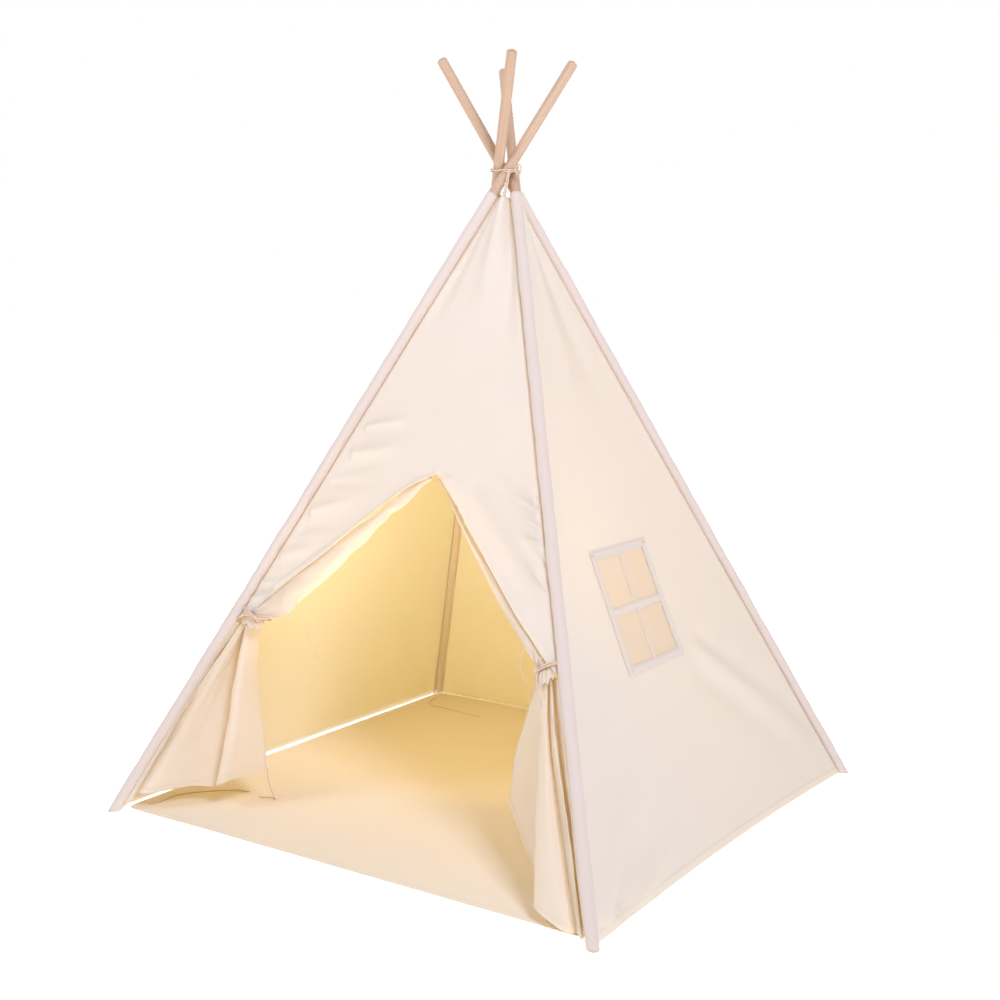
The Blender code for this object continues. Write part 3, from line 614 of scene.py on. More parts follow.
def raise_folds(proud, fold_list, across, reach, hold):
    for fold in fold_list:
        proud = proud + ridge(across, reach, *fold) * hold
    return proud


def folds(fade_start, fade_end, text):
    """Folds as ridge() takes them, all fading in and out over the same shares of their lengths.

    A fold is its start and end (across the panel, and reach below the crossing), its width and its height,
    all in tenths of a millimetre, and then how much wider it ends, in tenths.
    """
    made = []
    for row in text.split(","):
        ax, ar, bx, br, width, height, widen = (float(number) for number in row.split())
        start, end = (ax / 10000, ar / 10000), (bx / 10000, br / 10000)
        made.append((start, end, width / 10000, height / 10000, widen / 10, fade_start, fade_end))
    return made


FOLD_DEPTH = 2.4            # how much deeper the folds are than the heights in the lists
FRONT_FOLDS = [
    # soft fan below the crossing
    *folds(0.0, 0.6, """
        0 660 200 4200 100 40 30, 120 660 1150 4800 70 -50 30, -160 660 -1100 4400 70 -36 30"""),
    # pulls from the left pocket towards the door's apex
    *folds(0.1, 0.6, """
        -2000 6410 -700 6080 100 34 16, -2050 6680 -700 6320 90 -18 16,
        -2200 7050 -600 6720 120 34 16, -2280 7420 -1000 7160 100 -18 15,
        -2460 7780 -1200 7720 100 -22 15, -2850 8500 -1600 8060 120 40 16,
        -2960 8900 -1900 8700 100 -30 15, -3300 9600 -2300 9300 110 30 15"""),
    # gathers beside the left tie
    *folds(0.1, 0.6, """
        -3700 10300 -3000 10180 60 30 15, -3780 10520 -3100 10400 50 -30 15,
        -3840 10700 -3200 10520 50 28 15"""),
    # gathers beside the right pocket
    *folds(0.05, 0.6, """
        2620 7720 1200 7000 80 34 22, 2680 7900 1500 7350 80 -16 20,
        2850 8120 1650 7520 70 32 22, 2900 8280 1900 7820 70 -14 20,
        2940 8380 1950 7960 70 28 20, 3000 8580 2350 8380 50 26 20,
        3140 9000 2400 8500 60 -20 18, 3280 9500 2620 8800 70 30 18"""),
    # the loose edge above the right roll
    *folds(0.03, 0.2, "260 7440 3450 10520 180 38 8"),
    *folds(0.1, 0.3, "850 7420 3400 10000 220 -30 10"),
    # the loose edge above the left roll
    *folds(0.03, 0.15, "-100 7420 -3550 10700 100 22 8"),
]
RIGHT_FOLDS = [
    # pulls from the window's lower corner to the back foot
    *folds(0.1, 0.25, """
        900 11490 5600 15750 200 24 30, 570 12000 4800 15300 220 -18 28,
        1200 11200 5600 14900 200 -18 26"""),
    # slow folds in the lower front corner
    *folds(0.05, 0.6, """
        -5400 15850 -3000 13300 180 55 24, -4900 15900 -2300 14200 180 -45 22,
        -4200 15920 -1800 14800 160 35 22"""),
    # soft hanging from the crossing
    *folds(0.0, 0.5, "0 660 -600 7000 100 30 50, 100 660 800 7000 90 -26 50"),
]
BACK_FOLDS = [
    *folds(0.05, 0.5, """
        -5600 15800 -2000 12000 200 28 26, 5600 15800 1800 11800 200 28 26,
        5200 15900 1200 13000 200 -14 26, -5000 15900 -1000 13300 200 -14 26"""),
    *folds(0.0, 0.5, "0 660 -800 7000 100 24 50, 60 660 1200 7000 90 -18 50"),
]
LEFT_FOLDS = [((-a, b), (-c, d), *rest) for (a, b), (c, d), *rest in BACK_FOLDS]


WALL_HEM = 0.017            # depth of the hem under the right, back and left panels


def seam_dip(beside):
    """The panel sinks a little where it is sewn to a pocket."""
    return -0.0022 * np.exp(-(beside / 0.006) ** 2)


def hem_step(above, deep, lift=0.0011):
    """A folded hem stands proud of the panel by about one more layer."""
    return lift * np.clip((deep - above) / 0.0016 + 0.5, 0, 1)


def spread_rows(reaches, hem_rows, hem_deep):
    """Row shares with extra rows close to the hem, where the fold of the hem shows."""
    main = np.linspace(0, 1, reaches)
    extra = 1 - np.linspace(hem_deep, 0, hem_rows)
    return np.unique(np.round(np.concatenate((main[main < 1 - hem_deep], extra)), 6))


def wall_relief(fold_list, seed, across, reach, hem):
    """How far a whole panel stands off its plane: belly, seams, hem, folds and slow waves."""
    half = panel_half(reach)
    beside, above = half - np.abs(across), hem - reach
    proud = belly(across / half, (reach - PANEL_TOP) / (hem - PANEL_TOP))
    proud = proud + seam_dip(beside) + hem_step(above, WALL_HEM)
    hold = grow(beside, 0.012) * np.clip(above / 0.02, 0.2, 1)
    proud = raise_folds(proud, fold_list, across, reach, hold)
    soft = grow(beside, 0.05) * grow(above, 0.06)
    proud = proud + waves(seed, across, reach, 0.42, 0.0022) * soft
    proud = proud + waves(seed + 1, across, reach, 0.13, 0.0006) * soft
    return proud, beside, above


WINDOW_REACH = reach_at(WINDOW_MIDDLE)
SLOPE = sqrt(cos(TILT) ** 2 + sin(TILT) ** 2 / 2)
HALF_WIDE = WINDOW_WIDTH / 2
HALF_TALL = WINDOW_HEIGHT / 2 / SLOPE
FRAME_LEFT, FRAME_RIGHT = -WINDOW_SHIFT - HALF_WIDE, -WINDOW_SHIFT + HALF_WIDE
FRAME_HIGH, FRAME_LOW = WINDOW_REACH - HALF_TALL, WINDOW_REACH + HALF_TALL


def window_distance(across, reach):
    """Distance outside the window's frame, less than 0 inside it."""
    x = np.maximum(FRAME_LEFT - across, across - FRAME_RIGHT)
    y = np.maximum(FRAME_HIGH - reach, reach - FRAME_LOW) * SLOPE
    return np.where((x > 0) & (y > 0), np.hypot(x, y), np.maximum(x, y))


def window_pull(across, reach):
    """Short gathers that run out from the stitching, deepest along the frame's front side."""
    away = window_distance(across, reach)
    near = np.exp(-np.clip(away, 0, 1) / 0.012) * grow(away, 0.003)
    left = grow(FRAME_LEFT + 0.02 - across, 0.03)
    beat = np.sin(reach * tau / 0.0165 + 1.2 * np.sin(reach * 31))
    top = grow(FRAME_HIGH + 0.02 - reach, 0.03)
    beat_top = np.sin(across * tau / 0.024 + 0.8 * np.sin(across * 40))
    return near * (0.0024 * beat * left + 0.0010 * beat_top * top)


# Camera, floor and light

CAMERA_AT = Vector((1.78685, -2.72006, 1.11553))
CAMERA_TURN, CAMERA_TILT, CAMERA_ROLL = radians(33.3346), radians(7.9268), radians(0.8808)
CAMERA_LENS = 53.807
FLOOR_SIZE = 80
FILL = (1.0, 0.92, 0.83, 1.0)
FILL_STRENGTH = 0.42
# Square soft lights: place, target, size, power and colour
LIGHTS = {
    "key": ((-2.4, -3.6, 3.6), (0, 0, 0.7), 1.5, 52, (0.95, 0.98, 1.10)),
    "side": ((3.2, -2.2, 3.8), (0.2, -0.1, 1.0), 1.2, 120, (0.95, 0.98, 1.15)),
    "back": ((-1.6, 4.4, 3.0), (0, 0, 0.6), 2.4, 170, (1.0, 1.0, 1.0)),
    "back_left": ((-4.6, 1.0, 2.6), (0, 0, 0.5), 2.4, 55, (1.0, 1.0, 1.0)),
    "inside": ((0.0, -0.36, 0.36), (-0.20, 0.52, 0.88), 0.30, 1.8, (1.0, 0.73, 0.28)),
}


def make_camera():
    data = bpy.data.cameras.new("camera")
    data.sensor_width = 36
    data.lens = CAMERA_LENS
    data.clip_start, data.clip_end = 0.05, 100
    made = add_object("camera", data)
    level = cos(CAMERA_TILT)
    ahead = Vector((-sin(CAMERA_TURN) * level, cos(CAMERA_TURN) * level, -sin(CAMERA_TILT)))
    right = ahead.cross(Vector((0, 0, 1))).normalized()
    up = right.cross(ahead)
    tilted_right = right * cos(CAMERA_ROLL) + up * sin(CAMERA_ROLL)
    tilted_up = up * cos(CAMERA_ROLL) - right * sin(CAMERA_ROLL)
    turn = Matrix((tilted_right, tilted_up, -ahead)).transposed().to_4x4()
    made.matrix_world = Matrix.Translation(CAMERA_AT) @ turn
    bpy.context.scene.camera = made


def make_floor():
    mesh = bpy.data.meshes.new("studio_floor")
    size = FLOOR_SIZE / 2
    mesh.from_pydata([(-size, -size, 0), (size, -size, 0), (size, size, 0), (-size, size, 0)], [], [range(4)])
    n = Nodes("studio_floor")
    matt = n.add("BsdfPrincipled", Base_Color=(0.6, 0.6, 0.6, 1.0), Roughness=0.9)
    glow = n.add("Emission", Color=WHITE, Strength=0.80)
    mesh.materials.append(n.finish(n.add("AddShader", _0=matt, _1=glow)))
    made = add_object("studio_floor", mesh)
    made.location.z = -0.0002


def make_light_rig():
    """A warm fill that the camera sees as plain white, soft lights round the tent and one in its doorway."""
    world = bpy.data.worlds.new("studio")
    bpy.context.scene.world = world
    world.use_nodes = True
    tree = world.node_tree
    fill = tree.nodes["Background"]
    fill.inputs["Color"].default_value = FILL
    fill.inputs["Strength"].default_value = FILL_STRENGTH
    seen = tree.nodes.new("ShaderNodeBackground")
    seen.inputs["Color"].default_value = WHITE
    path = tree.nodes.new("ShaderNodeLightPath")
    pick = tree.nodes.new("ShaderNodeMixShader")
    tree.links.new(path.outputs["Is Camera Ray"], pick.inputs[0])
    tree.links.new(fill.outputs[0], pick.inputs[1])
    tree.links.new(seen.outputs[0], pick.inputs[2])
    tree.links.new(pick.outputs[0], tree.nodes["World Output"].inputs["Surface"])
    for name, (place, target, size, power, colour) in LIGHTS.items():
        data = bpy.data.lights.new(name, "AREA")
        data.shape, data.size, data.energy, data.color = "SQUARE", size, power, colour
        made = add_object(name, data)
        made.location = place
        made.rotation_mode = "QUATERNION"
        made.rotation_quaternion = (Vector(target) - Vector(place)).to_track_quat("-Z", "Y")
        made.visible_camera = False
    scene = bpy.context.scene
    scene.cycles.diffuse_bounces = 8
    scene.view_settings.view_transform = "Standard"
    scene.view_settings.look = "None"


# Poles and pockets

def finish_poles():
    for corner in CORNERS:
        for part in ("lower", "middle", "upper"):
            NODES[f"pole_{corner}_{part}"].data.materials[0] = WOOD
        for part in ("lower", "upper"):
            NODES[f"ferrule_{corner}_{part}"].data.materials[0] = STEEL


def make_pocket(index):
    """The pocket sewn round a pole: slightly slack, hemmed at the top, closed round at the foot."""
    sides, rows = 40, 240
    out, across = outward(index), sideways(index)
    run = Vector((0, 0, cos(TILT))) - out * sin(TILT)
    turns = np.arange(sides) * tau / sides
    ring = np.outer(np.cos(turns), across.cross(run)) + np.outer(np.sin(turns), across)
    radius = SLEEVE_RADIUS - CLEARANCE
    run = np.array(run)
    foot = np.array(hinge_point(index)) - run * POLE_REACH
    # the lowest place on the pocket in each direction is where its surface meets the floor
    lowest = -(foot[2] + ring[:, 2] * radius) / run[2]
    start = POLE_REACH - SLEEVE_TOP
    along = start + (lowest[None, :] - start) * np.linspace(0, 1, rows)[:, None]
    phase = np.random.default_rng(40 + index).uniform(0, tau, 6)
    slack = np.zeros((rows, sides))
    for k in range(6):
        slack += np.sin(along * tau / (0.055 + 0.05 * k) + phase[k] + (k % 3) * turns[None, :])
    swell = radius + 0.00022 * slack + hem_step(start - along, 0.016, 0.0006)
    points = foot + run * along[..., None] + ring[None] * swell[..., None]
    points[..., 2] = np.maximum(points[..., 2], FLOOR_GAP)
    # three smaller rings close the pocket under the pole's foot
    middle = points[-1].mean(0)
    caps = np.array([middle + (points[-1] - middle) * shrink for shrink in (0.93, 0.6, 0.05)])
    caps[..., 2] = FLOOR_GAP
    points = np.concatenate((points, caps))
    along = np.concatenate((along, np.tile(along[-1], (len(caps), 1))))
    around = turns * radius
    rim = pair(np.abs(around - pi * radius), start - along)
    corner = CORNERS[index]
    mesh = grid_mesh(f"pocket_{corner}", points, pair(around, along), rim, closed=True)
    # the back-left pocket takes the copy with painted light, the others the copy with painted shade
    cloth = POCKET_PAINTED_SHADE if index < 3 else BACK_SLEEVE_PAINTED_LIGHT
    piece = as_piece(mesh.name, mesh, cloth, f"pole_{corner}", f"sleeve_{corner}")
    thicken(piece, THIN_CLOTH, -1.0)


# Panels

RIGHT_SEED = 31
HOLE_LAP = 0.004            # the window's strips cover the edge of the hole by this much


def gather(piece):
    """Gives a piece its own copy of its mesh."""
    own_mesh(piece)


EDGE_CURVE = spline(DOOR_EDGE, 10)


def front_edge(share):
    """Reach of the door's free edge, from a share of the way across the panel."""
    return np.interp(share, EDGE_CURVE[:, 0] / panel_half(EDGE_CURVE[:, 1]), EDGE_CURVE[:, 1])


def edge_curl(above):
    """The free edge stands out a little, as cloth does along a turned hem."""
    return 0.0042 * np.exp(-(above / 0.0065) ** 2)


def hang_panel(index, mesh, finish, lowest):
    """A panel as a piece that hangs between two poles. Its lowest reach is not used."""
    side = SIDES[index]
    piece = as_piece(f"{side}_canvas", mesh, finish, f"{side}_cover", f"{side}_panel")
    thicken(piece)
    2 * panel_half(lowest)
    (lowest - PANEL_TOP) * SLOPE
    gather(piece)


def panel_mesh(index, across, reach, proud, beside, above):
    return grid_mesh(f"{SIDES[index]}_canvas", panel_place(index, reach, across, proud),
                     pair(across, reach), pair(beside, above))


def make_front():
    """The front panel, down to the door's free edge."""
    share, down = np.meshgrid(np.linspace(-1, 1, 196), spread_rows(176, 18, 0.030))
    reach = PANEL_TOP + (front_edge(share) - PANEL_TOP) * down
    half = panel_half(reach)
    across = share * half
    beside = half - np.abs(across)
    above = (front_edge(share) - reach) * 0.75
    proud = seam_dip(beside) + edge_curl(above)
    proud = raise_folds(proud, FRONT_FOLDS, across, reach, grow(beside, 0.010))
    soft = grow(beside, 0.05)
    proud = proud + waves(11, across, reach, 0.40, 0.0020) * soft
    proud = proud + waves(12, across, reach, 0.12, 0.0007) * soft
    hang_panel(FRONT, panel_mesh(FRONT, across, reach, proud, beside, above), DOOR, TIE_REACH)


def make_wall(index, fold_list, seed, columns=110, rows=150, hem_heights=()):
    """A whole panel. The faces of the right one that lie behind its window are left out."""
    share, down = np.meshgrid(np.linspace(-1, 1, columns), spread_rows(rows, 26, 0.020))
    hem = hem_reach(share, *hem_heights)
    reach = PANEL_TOP + (hem - PANEL_TOP) * down
    across = share * panel_half(reach)
    proud, beside, above = wall_relief(fold_list, seed, across, reach, hem)
    if index == RIGHT:
        proud = proud + window_pull(across, reach)
    mesh = panel_mesh(index, across, reach, proud, beside, above)
    if index == RIGHT:
        away = window_distance(across, reach).ravel() + FRAME_STRIP - HOLE_LAP
        with editing(mesh) as bm:
            gone = [face for face in bm.faces if all(away[vert.index] < 0 for vert in face.verts)]
            bmesh.ops.delete(bm, geom=gone, context="FACES")
    hang_panel(index, mesh, COVER, POLE_REACH)


def make_walls():
    make_front()
    make_wall(RIGHT, RIGHT_FOLDS, RIGHT_SEED, columns=150, rows=170)
    make_wall(BACK, BACK_FOLDS, 51, hem_heights=(0.0008, 0.0008, 0.0))
    make_wall(LEFT, LEFT_FOLDS, 61, hem_heights=(0.0012, 0.004, 0.005))


def wall_proud(across, reach):
    """How far the right panel stands off its plane, so that the window's parts follow it."""
    return wall_relief(RIGHT_FOLDS, RIGHT_SEED, across, reach, hem_reach(across / panel_half(reach)))[0]


# Window

STRIP_LIFT = 0.0012         # how far the strips stand off the panel


def strip(start, end, wide, lift, seed):
    """A sewn strip between two places of the right panel, turned under along both sides."""
    (x0, y0), (x1, y1) = start, end
    long = hypot(x1 - x0, (y1 - y0) * SLOPE)
    steps = max(12, int(long / 0.003))
    t = np.linspace(0, 1, steps)
    aside = np.array((-1.0, -0.97, -0.9, -0.75, -0.4, 0.0, 0.4, 0.75, 0.9, 0.97, 1.0))
    tt, ss = np.meshgrid(t, aside, indexing="ij")
    nx, ny = -(y1 - y0) * SLOPE / long, (x1 - x0) / long
    wobble = waves(seed, tt * long, ss * 0, 0.03, 0.0006)
    offset = ss * wide / 2 + wobble * np.sign(ss) * np.abs(ss)
    across = x0 + (x1 - x0) * tt + nx * offset
    reach = y0 + (y1 - y0) * tt + ny * offset / SLOPE
    crown = 0.0008 * (1 - ss ** 4)
    pucker = 0.0005 * np.sin(tt * long * tau / 0.011 + 2 * np.sin(tt * long * 60)) * (np.abs(ss) > 0.5)
    points = panel_place(RIGHT, reach, across, wall_proud(across, reach) + lift + crown + pucker)
    edge = wide / 2 - np.abs(offset)
    return grid_mesh("strip", points, pair(tt * long, offset), pair(edge, edge))


def join(name, meshes, finish, body, node):
    """Several meshes as one piece."""
    parts = [add_object(name, mesh) for mesh in meshes]
    with bpy.context.temp_override(active_object=parts[0], selected_editable_objects=parts,
                                   selected_objects=parts):
        bpy.ops.object.join()
    mesh = parts[0].data.copy()
    bpy.data.objects.remove(parts[0], do_unlink=True)
    mesh.materials.clear()
    return as_piece(name, mesh, finish, body, node)


def make_window():
    """The window's four frame strips, its two glazing bars and its screen."""
    half = FRAME_STRIP / 2
    inner_x, inner_y = HALF_WIDE - half, HALF_TALL - half / SLOPE
    left, right = -WINDOW_SHIFT - inner_x, -WINDOW_SHIFT + inner_x
    high, low = WINDOW_REACH - inner_y, WINDOW_REACH + inner_y
    strips = [strip((left - half, place), (right + half, place), FRAME_STRIP, STRIP_LIFT, seed)
              for place, seed in ((high, 1), (low, 2))]
    strips += [strip((place, high), (place, low), FRAME_STRIP, STRIP_LIFT + THIN_CLOTH, seed)
               for place, seed in ((left, 3), (right, 4))]
    bars = [strip((left, WINDOW_REACH), (right, WINDOW_REACH), BAR_WIDE, STRIP_LIFT + THIN_CLOTH / 2, 5),
            strip((-WINDOW_SHIFT, high), (-WINDOW_SHIFT, low), BAR_NARROW, STRIP_LIFT, 6)]
    for name, node, parts in (("strips", "frame", strips), ("glazing_bars", "bars", bars)):
        piece = join(f"window_{name}", parts, TRIM, "right_cover", f"window_{node}")
        gather(thicken(piece, THIN_CLOTH))
    shares = np.linspace(-1, 1, 40)
    x, y = np.meshgrid(-WINDOW_SHIFT + shares * inner_x, WINDOW_REACH + shares * inner_y)
    proud = wall_proud(x, y) + 0.0001 + waves(9, x, y, 0.09, 0.0007)
    mesh = grid_mesh("window_voile", panel_place(RIGHT, y, x, proud), pair(x, y))
    voile = as_piece("window_voile", mesh, VOILE, "right_cover", "window_screen")
    thicken(voile, VOILE_THICKNESS)
    gather(voile)


# Door: the turned-back edges and their ties

def band_lines(word):
    """The upper and lower edge of a turned-back band, as places on the front panel."""
    low = spline(BAND_EDGES[word], 8)
    gaps = BAND_GAPS[word]
    high = EDGE_CURVE.copy()
    high[:, 1] += np.interp(np.abs(high[:, 0]), gaps[:, 0], gaps[:, 1])
    scale = np.array((1.0, SLOPE))
    apart = np.linalg.norm((low[:, None] - high[None]) * scale, axis=2)
    near = high[apart.argmin(1)]
    # evened out, so that the rings between the two edges don't bunch
    for _ in range(6):
        near[1:-1] = (near[:-2] + near[1:-1] * 2 + near[2:]) / 4
    return near, low


def shell(front):
    """A closed thin sheet: the given points, and the same points moved back by its thickness."""
    back = front - facing(front) * THIN_CLOTH
    ends = [(front[i] + back[i]) / 2 for i in (0, -1)]
    first, last = (np.concatenate((row, row[::-1]))[None] for row in ends)
    rings = np.concatenate((first, np.concatenate((front, back[:, ::-1]), 1), last))
    beside = np.concatenate(([0], np.cumsum(steps_along(front[-1]))))
    beside = np.concatenate((beside, beside[::-1]))
    tall = np.linspace(0, 1, len(rings)) * np.linalg.norm(front[-1] - front[0], axis=1).mean()
    mesh = grid_mesh("skirt", rings, pair(beside[None, :], tall[:, None]), closed=True)
    with editing(mesh) as bm:
        bmesh.ops.remove_doubles(bm, verts=bm.verts, dist=1e-6)
    return mesh


def skirt_mesh(side, word):
    """The pleats under a tie, where the gathered cloth opens out over the hanging panel."""
    top, low = spline(SKIRT_TOPS[word], 14), spline(SKIRT_HEMS[word], 14)
    share = np.linspace(0, 1, 22)[:, None]
    turn = np.linspace(0, 1, len(top))[None, :]
    beat = np.sin(turn * tau * 5.3 + 1.7 * np.sin(turn * 13))
    ragged = 1 - (0.30 + 0.13 * np.sin(turn * 9 + 1) + 0.09 * np.sin(turn * 31 + 2)) * share
    points = top + (low - top) * (share * ragged)[..., None]
    normal = facing(points)
    if normal[0, 0, 1] > 0:
        normal = -normal
    puff = 0.0022 * np.sin(pi * share ** 0.6) * np.ones_like(turn)
    points = points + normal * (puff + 0.0042 * beat * share ** 0.5 * (1.04 - share) ** 0.7)[..., None]
    return shell(points if side > 0 else points[:, ::-1])


def make_band(side, word):
    """The door's turned-back edge: a folded band, thin at the apex and gathered in at its tie."""
    high, low = band_lines(word)
    sides, steps = 36, len(low)
    along = np.linspace(0, 1, steps)[:, None]
    turns = np.arange(sides) * tau / sides
    wide = np.linalg.norm((low - high) * (1.0, SLOPE), axis=1)[:, None]
    tied = 0.78 if side < 0 else 0.88
    gathered = grow(along - tied, 0.98 - tied) ** 1.5
    down = (1 - np.cos(turns)) / 2
    across, reach = (high[:, [k]] + (low - high)[:, [k]] * down for k in (0, 1))
    off_across, off_reach = across - KNOTS[word][0], (reach - KNOTS[word][1]) * SLOPE
    away = np.hypot(off_across, off_reach)
    fan = np.exp(-(away / 0.050) ** 2) * grow(away, 0.012)
    pleats = 0.0030 * fan * np.sin(np.arctan2(off_reach, -side * off_across) * 15)
    thick = np.minimum(0.0026 + 0.0016 * along + 0.0022 * gathered, 0.45 * wide + 0.0004)
    tip = -0.0035 - 0.10 * wide * down ** 1.6 * (1 - gathered)
    belly_out = 0.10 * wide * np.sin(pi * down) * (1 - 0.6 * gathered)
    rim = 0.0014 * np.exp(-((down - 0.07) / 0.05) ** 2) + 0.0010 * np.exp(-((down - 0.95) / 0.05) ** 2)
    creases = 0.0008 * np.sin(down * 9 + along * 13 + 1.3 * np.sin(along * 31)) * (0.4 + along)
    outside = np.clip(np.sin(turns) * 3, 0, 1)
    proud = tip + belly_out + thick * np.sin(turns) + (creases + pleats + rim) * outside
    rings = panel_place(FRONT, reach, across, proud)
    edge = float(steps_along(rings.mean(1)).sum())
    mesh = grid_mesh(f"door_band_{word}", rings, pair(turns * 0.012, along * edge), closed=True)
    close_ends(mesh, steps, sides)
    meshes = [mesh, skirt_mesh(side, word)]
    # the band and its skirt take the roll cotton, with its painted shade
    piece = join(f"door_band_{word}", meshes, ROLL_PAINTED_SHADE, "front_cover", f"door_roll_{word}")
    gather(piece)


def free_cord(name, route, radius, body, node):
    """A free cord: a mesh tube along its route."""
    piece = tube(name, route, radius, body, node, sides=CORD_SIDES)
    return piece


def knot(centre, size, radius):
    """A small overhand knot as a closed tube."""
    turns = np.arange(60) * tau / 60
    route = np.stack((np.sin(turns) + 2 * np.sin(2 * turns), -np.sin(3 * turns),
                      np.cos(turns) - 2 * np.cos(2 * turns)), -1)
    return strand(np.array(centre) + route * size, radius, closed=True)


# One turn of a tie: shares of the way along its span, and how far it stands off the panel
TIE_TURN = ((-0.16, 0.0045), (0.05, 0.0080), (0.35, 0.0115), (0.70, 0.0100), (0.96, 0.0045), (1.03, -0.0030),
            (0.95, -0.0085), (0.50, -0.0120), (0.05, -0.0110), (-0.14, -0.0090))


def make_tie(side, word):
    """The tie: two turns from the pocket's seam round the gathered cloth, a knot and two loose ends."""
    near, far = (panel_place(FRONT, reach, across) for across, reach in TIE_SPANS[word])
    over = far - near
    wide = np.linalg.norm(over)
    over /= wide
    face = np.array((0, -cos(PANEL_LEAN), sin(PANEL_LEAN)))
    run = np.cross(over, face)
    meshes = []
    for turn in (-1, 1):
        shift = run * turn * (TIE_RADIUS + 0.0002)
        route = spline([near + over * wide * along + face * proud + shift for along, proud in TIE_TURN], 7)
        meshes.append(strand(route, TIE_RADIUS))
    across, reach = KNOTS[word]
    middle = panel_place(FRONT, reach, across) + face * (0.0130 if side < 0 else 0.0080)
    meshes.append(knot(middle, 0.0014, TIE_RADIUS))
    gather(join(f"tie_ring_{word}", meshes, CORD, "front_cover", f"tie_loop_{word}"))
    for kind, routes, radius in (("tie", TIE_TAILS, TIE_RADIUS), ("thread", THREAD_TAILS, THREAD_RADIUS)):
        gather(free_cord(f"{kind}_tail_{word}", spline(routes[word], 6), radius, "front_cover",
                         f"{kind}_end_{word}"))


# Door: the hanging lower panels

def seam_point(side, reach):
    return panel_place(FRONT, reach, side * (panel_half(reach) - 0.0010))


def make_drape(side, word, net):
    """A lower door panel: sewn to its pocket, gathered under its tie, hanging in folds."""
    index = 0 if side < 0 else 1
    seam = [seam_point(side, reach_at(height)) for height in SEAM_HEIGHTS]
    net = np.concatenate((np.array(seam)[:, None], net), 1)
    parts = [max(6, int(length / 0.0032)) for length in steps_along(net[-1])]
    across = spline(net.transpose(1, 0, 2).reshape(net.shape[1], -1), parts)
    across = across.reshape(len(across), net.shape[0], 3)
    down = spline(across.transpose(1, 0, 2).reshape(net.shape[0], -1), 44).reshape(-1, len(across), 3)
    rows, columns = down.shape[:2]
    share = np.linspace(0, 1, rows)
    # the lowest rows are closer together, for the hem's fold
    finer = np.unique(np.concatenate((share[share < 0.955], np.linspace(0.955, 1, 14))))
    points = np.stack([np.stack([np.interp(finer, share, down[:, c, k]) for k in range(3)], -1)
                       for c in range(columns)], 1)
    beside = np.concatenate(([0], np.cumsum(steps_along(points[-1]))))
    tall = np.linalg.norm(np.diff(points, axis=0), axis=2).sum(0)
    above = (1 - finer)[:, None] * tall[None, :]
    free = (beside[-1] - beside)[None, :] * np.ones((len(finer), 1))
    hold = grow(beside, 0.02)[None, :]
    pleats = 0.0010 * np.exp(-finer / 0.10)[:, None] * np.sin(beside * 260 + 2 * np.sin(beside * 60))[None, :]
    fade = np.sin(pi * np.minimum(1, finer * 1.1) * 0.9)[:, None]
    soft = waves(70 + index, beside[None, :], above, 0.10, 0.0016) * fade
    lift = (pleats + soft) * hold + hem_step(above, 0.012, 0.0009) + hem_step(free, 0.008, 0.0007)
    points = points + facing(points) * lift[..., None] * side
    mesh = grid_mesh(f"door_drape_{word}", points, pair(beside[None, :], -above), pair(free, above))
    piece = thicken(as_piece(mesh.name, mesh, DRAPE, f"flap_{word}", f"door_flap_{word}"))
    press(piece, index)


def press(piece, index):
    """Gives a hanging piece its own copy of its mesh."""
    square = outward(index) * cos(TILT) + Vector((0, 0, sin(TILT)))
    tuple(pole_point(index, POLE_REACH))
    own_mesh(piece)


# Lashing, as wound in the CAD, with finer cord

HANGER_TURN, HANGER_LOW_TURN = -0.85, -1.10    # the hanger's upper and lower end, round the axis
HANGER_LOW_REACH = 0.0338                      # its lower end, from the axis
BOW_TURN = -0.40
BOW_REACH, BOW_HEIGHT = 0.012, 0.009           # half the loop's width and height


def lashing_route():
    """Two turns of cord in quarter arcs, one round each pole, rising by a quarter of the pitch each."""
    arc, pitch = 14, 0.0038
    corner = POLE_RADIUS / cos(TILT) + CORD_RADIUS + 0.0006
    route = []
    for k in range(8):
        side = sideways(k)
        base = atan2(side.y, side.x)
        for i in range(arc):
            share = i / (arc - 1)
            angle = base + (share - 1 / 2) * QUARTER
            height = CROSS_HEIGHT - pitch + pitch * (k + share * (arc - 1) / arc) / 4
            spot = side * TWIST + Vector((cos(angle), sin(angle), 0)) * corner
            route.append(Vector((spot.x, spot.y, height)))
    return route


def round_axis(turn, radius, height):
    return Vector((radius * cos(turn), radius * sin(turn), height))


def lashing_radius(winding, turn):
    near = max(winding, key=lambda spot: (spot.x * cos(turn) + spot.y * sin(turn)) / spot.xy.length)
    return near.xy.length


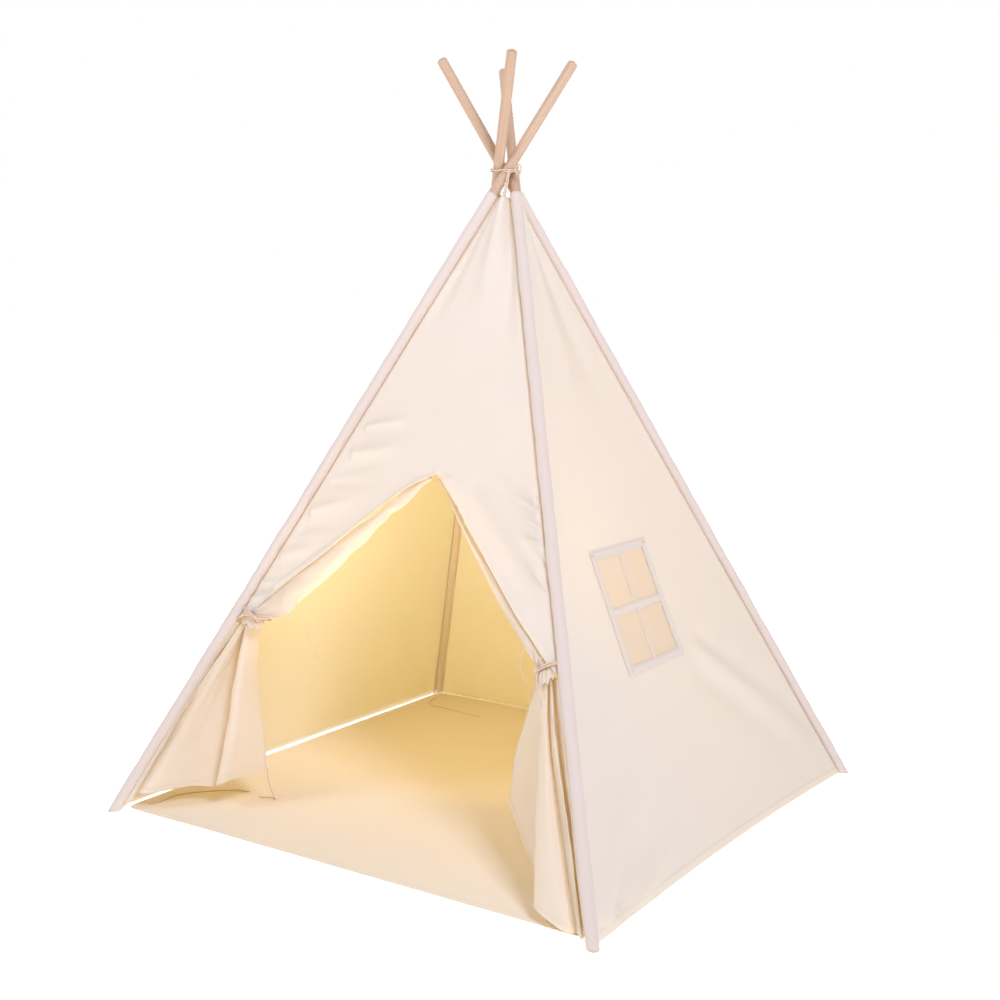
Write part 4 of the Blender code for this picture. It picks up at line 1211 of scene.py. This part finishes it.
def make_lashing():
    """The winding, the two knotted strands that hold up the cover's top, and the loop of the bow."""
    route = lashing_route()
    tube("lashing_winding", route, CORD_RADIUS, "crossing", "lashing_cord")
    end = float(panel_place(FRONT, PANEL_TOP, 0.0)[2]) + CORD_RADIUS + CLEARANCE
    beside = 2 * CORD_RADIUS + CLEARANCE
    start_out = lashing_radius(route, HANGER_TURN) + beside
    run = []
    for i in range(21):
        share = i / 20
        turn = HANGER_TURN + (HANGER_LOW_TURN - HANGER_TURN) * share
        out = start_out + (HANGER_LOW_REACH - start_out) * share
        run.append(round_axis(turn, out, CROSS_HEIGHT + (end - CROSS_HEIGHT) * share))
    second = [spot + Vector((0.0022, 0.0010, 0.0004)) + Vector((0.0016, 0, 0)) * sin(pi * i / 20)
              for i, spot in enumerate(run)]
    meshes = [strand(part, CORD_RADIUS) for part in (run, second)]
    meshes += [knot(tuple(run[place]), 0.0011, CORD_RADIUS) for place in (11, 18)]
    join("lashing_hanger", meshes, CORD, "crossing", "lashing_anchor")
    centre = round_axis(BOW_TURN, lashing_radius(route, BOW_TURN) + beside + BOW_REACH, CROSS_HEIGHT)
    out = round_axis(BOW_TURN, 1, 0)
    bow = []
    for i in range(40):
        turn = tau * i / 40
        lift = sin(turn) * (1 + cos(turn) / 2)
        bow.append(centre + out * (cos(turn) * BOW_REACH) + Vector((0, 0, lift * BOW_HEIGHT)))
    tube("lashing_loop", bow, CORD_RADIUS, "crossing", "lashing_bow", closed=True)


# Mat

MAT_CORNER = 60             # the power of the mat's outline: the higher, the sharper its corners
MAT_EDGE = 0.003            # how far the sewn edge lies inside the mat's size
MAT_LEFT_PULL, MAT_BACK_PULL = 1.027, 1.040


def make_mat():
    """The loose mat, hemmed all round, drawn out at the back and left, with a tie at each corner."""
    shares = np.linspace(-1, 1, 150)
    # extra lines close to the edges for the hem
    edge = 1 - np.linspace(0.03, 0, 8)
    line = np.unique(np.concatenate((shares[np.abs(shares) < 0.97], edge, -edge)))
    x, y = np.meshgrid(line, line)
    half = MAT_SIZE / 2 - MAT_EDGE
    # corners drawn in to a small round
    norm = (np.abs(x) ** MAT_CORNER + np.abs(y) ** MAT_CORNER) ** (1 / MAT_CORNER)
    big = np.maximum(np.abs(x), np.abs(y))
    scale = np.where(norm > 0, big / np.maximum(norm, 1e-9), 1)
    px, py = x * half * scale, y * half * scale
    px, py = px * np.where(x < 0, MAT_LEFT_PULL, 1.0), py * np.where(y > 0, MAT_BACK_PULL, 1.0)
    inside = (1 - big) * half
    px = px + waves(91, x, y, 0.9, 0.0016) * (inside < 0.03)
    hem = 0.0009 / (1 + np.exp((inside - 0.019) / 0.0008))
    lift = 0.0016 + 0.0012 * (1 + waves(92, px, py, 0.33, 0.8)) + hem
    points = np.stack((px, py, np.clip(lift, 0.0012, 0.006)), -1)
    mesh = grid_mesh("floor_cloth", points, pair(px, py), pair(inside, inside))
    piece = as_piece("floor_cloth", mesh, MAT, "floor", "floor_mat")
    mesh.flip_normals()
    thicken(piece)
    height = MAT_THICKNESS + MAT_TIE_RADIUS + CLEARANCE
    for corner, places in MAT_TIE_ROUTES.items():
        route = spline([(x, y, height) for x, y in places], 4)
        free_cord(f"mat_cord_{corner}", route, MAT_TIE_RADIUS, "floor", f"mat_tie_{corner}")


make_camera()
make_floor()
make_light_rig()
finish_poles()
for each in range(4):
    make_pocket(each)
make_walls()
make_window()
for each_side, each_word, each_net in ((-1, "left", LEFT_DRAPE), (1, "right", RIGHT_DRAPE)):
    make_band(each_side, each_word)
    make_tie(each_side, each_word)
    make_drape(each_side, each_word, each_net)
press(free_cord("flap_cord_left", spline(FLAP_TIE_ROUTE, 4), MAT_TIE_RADIUS, "flap_left", "flap_tie_left"), 0)
make_lashing()
make_mat()
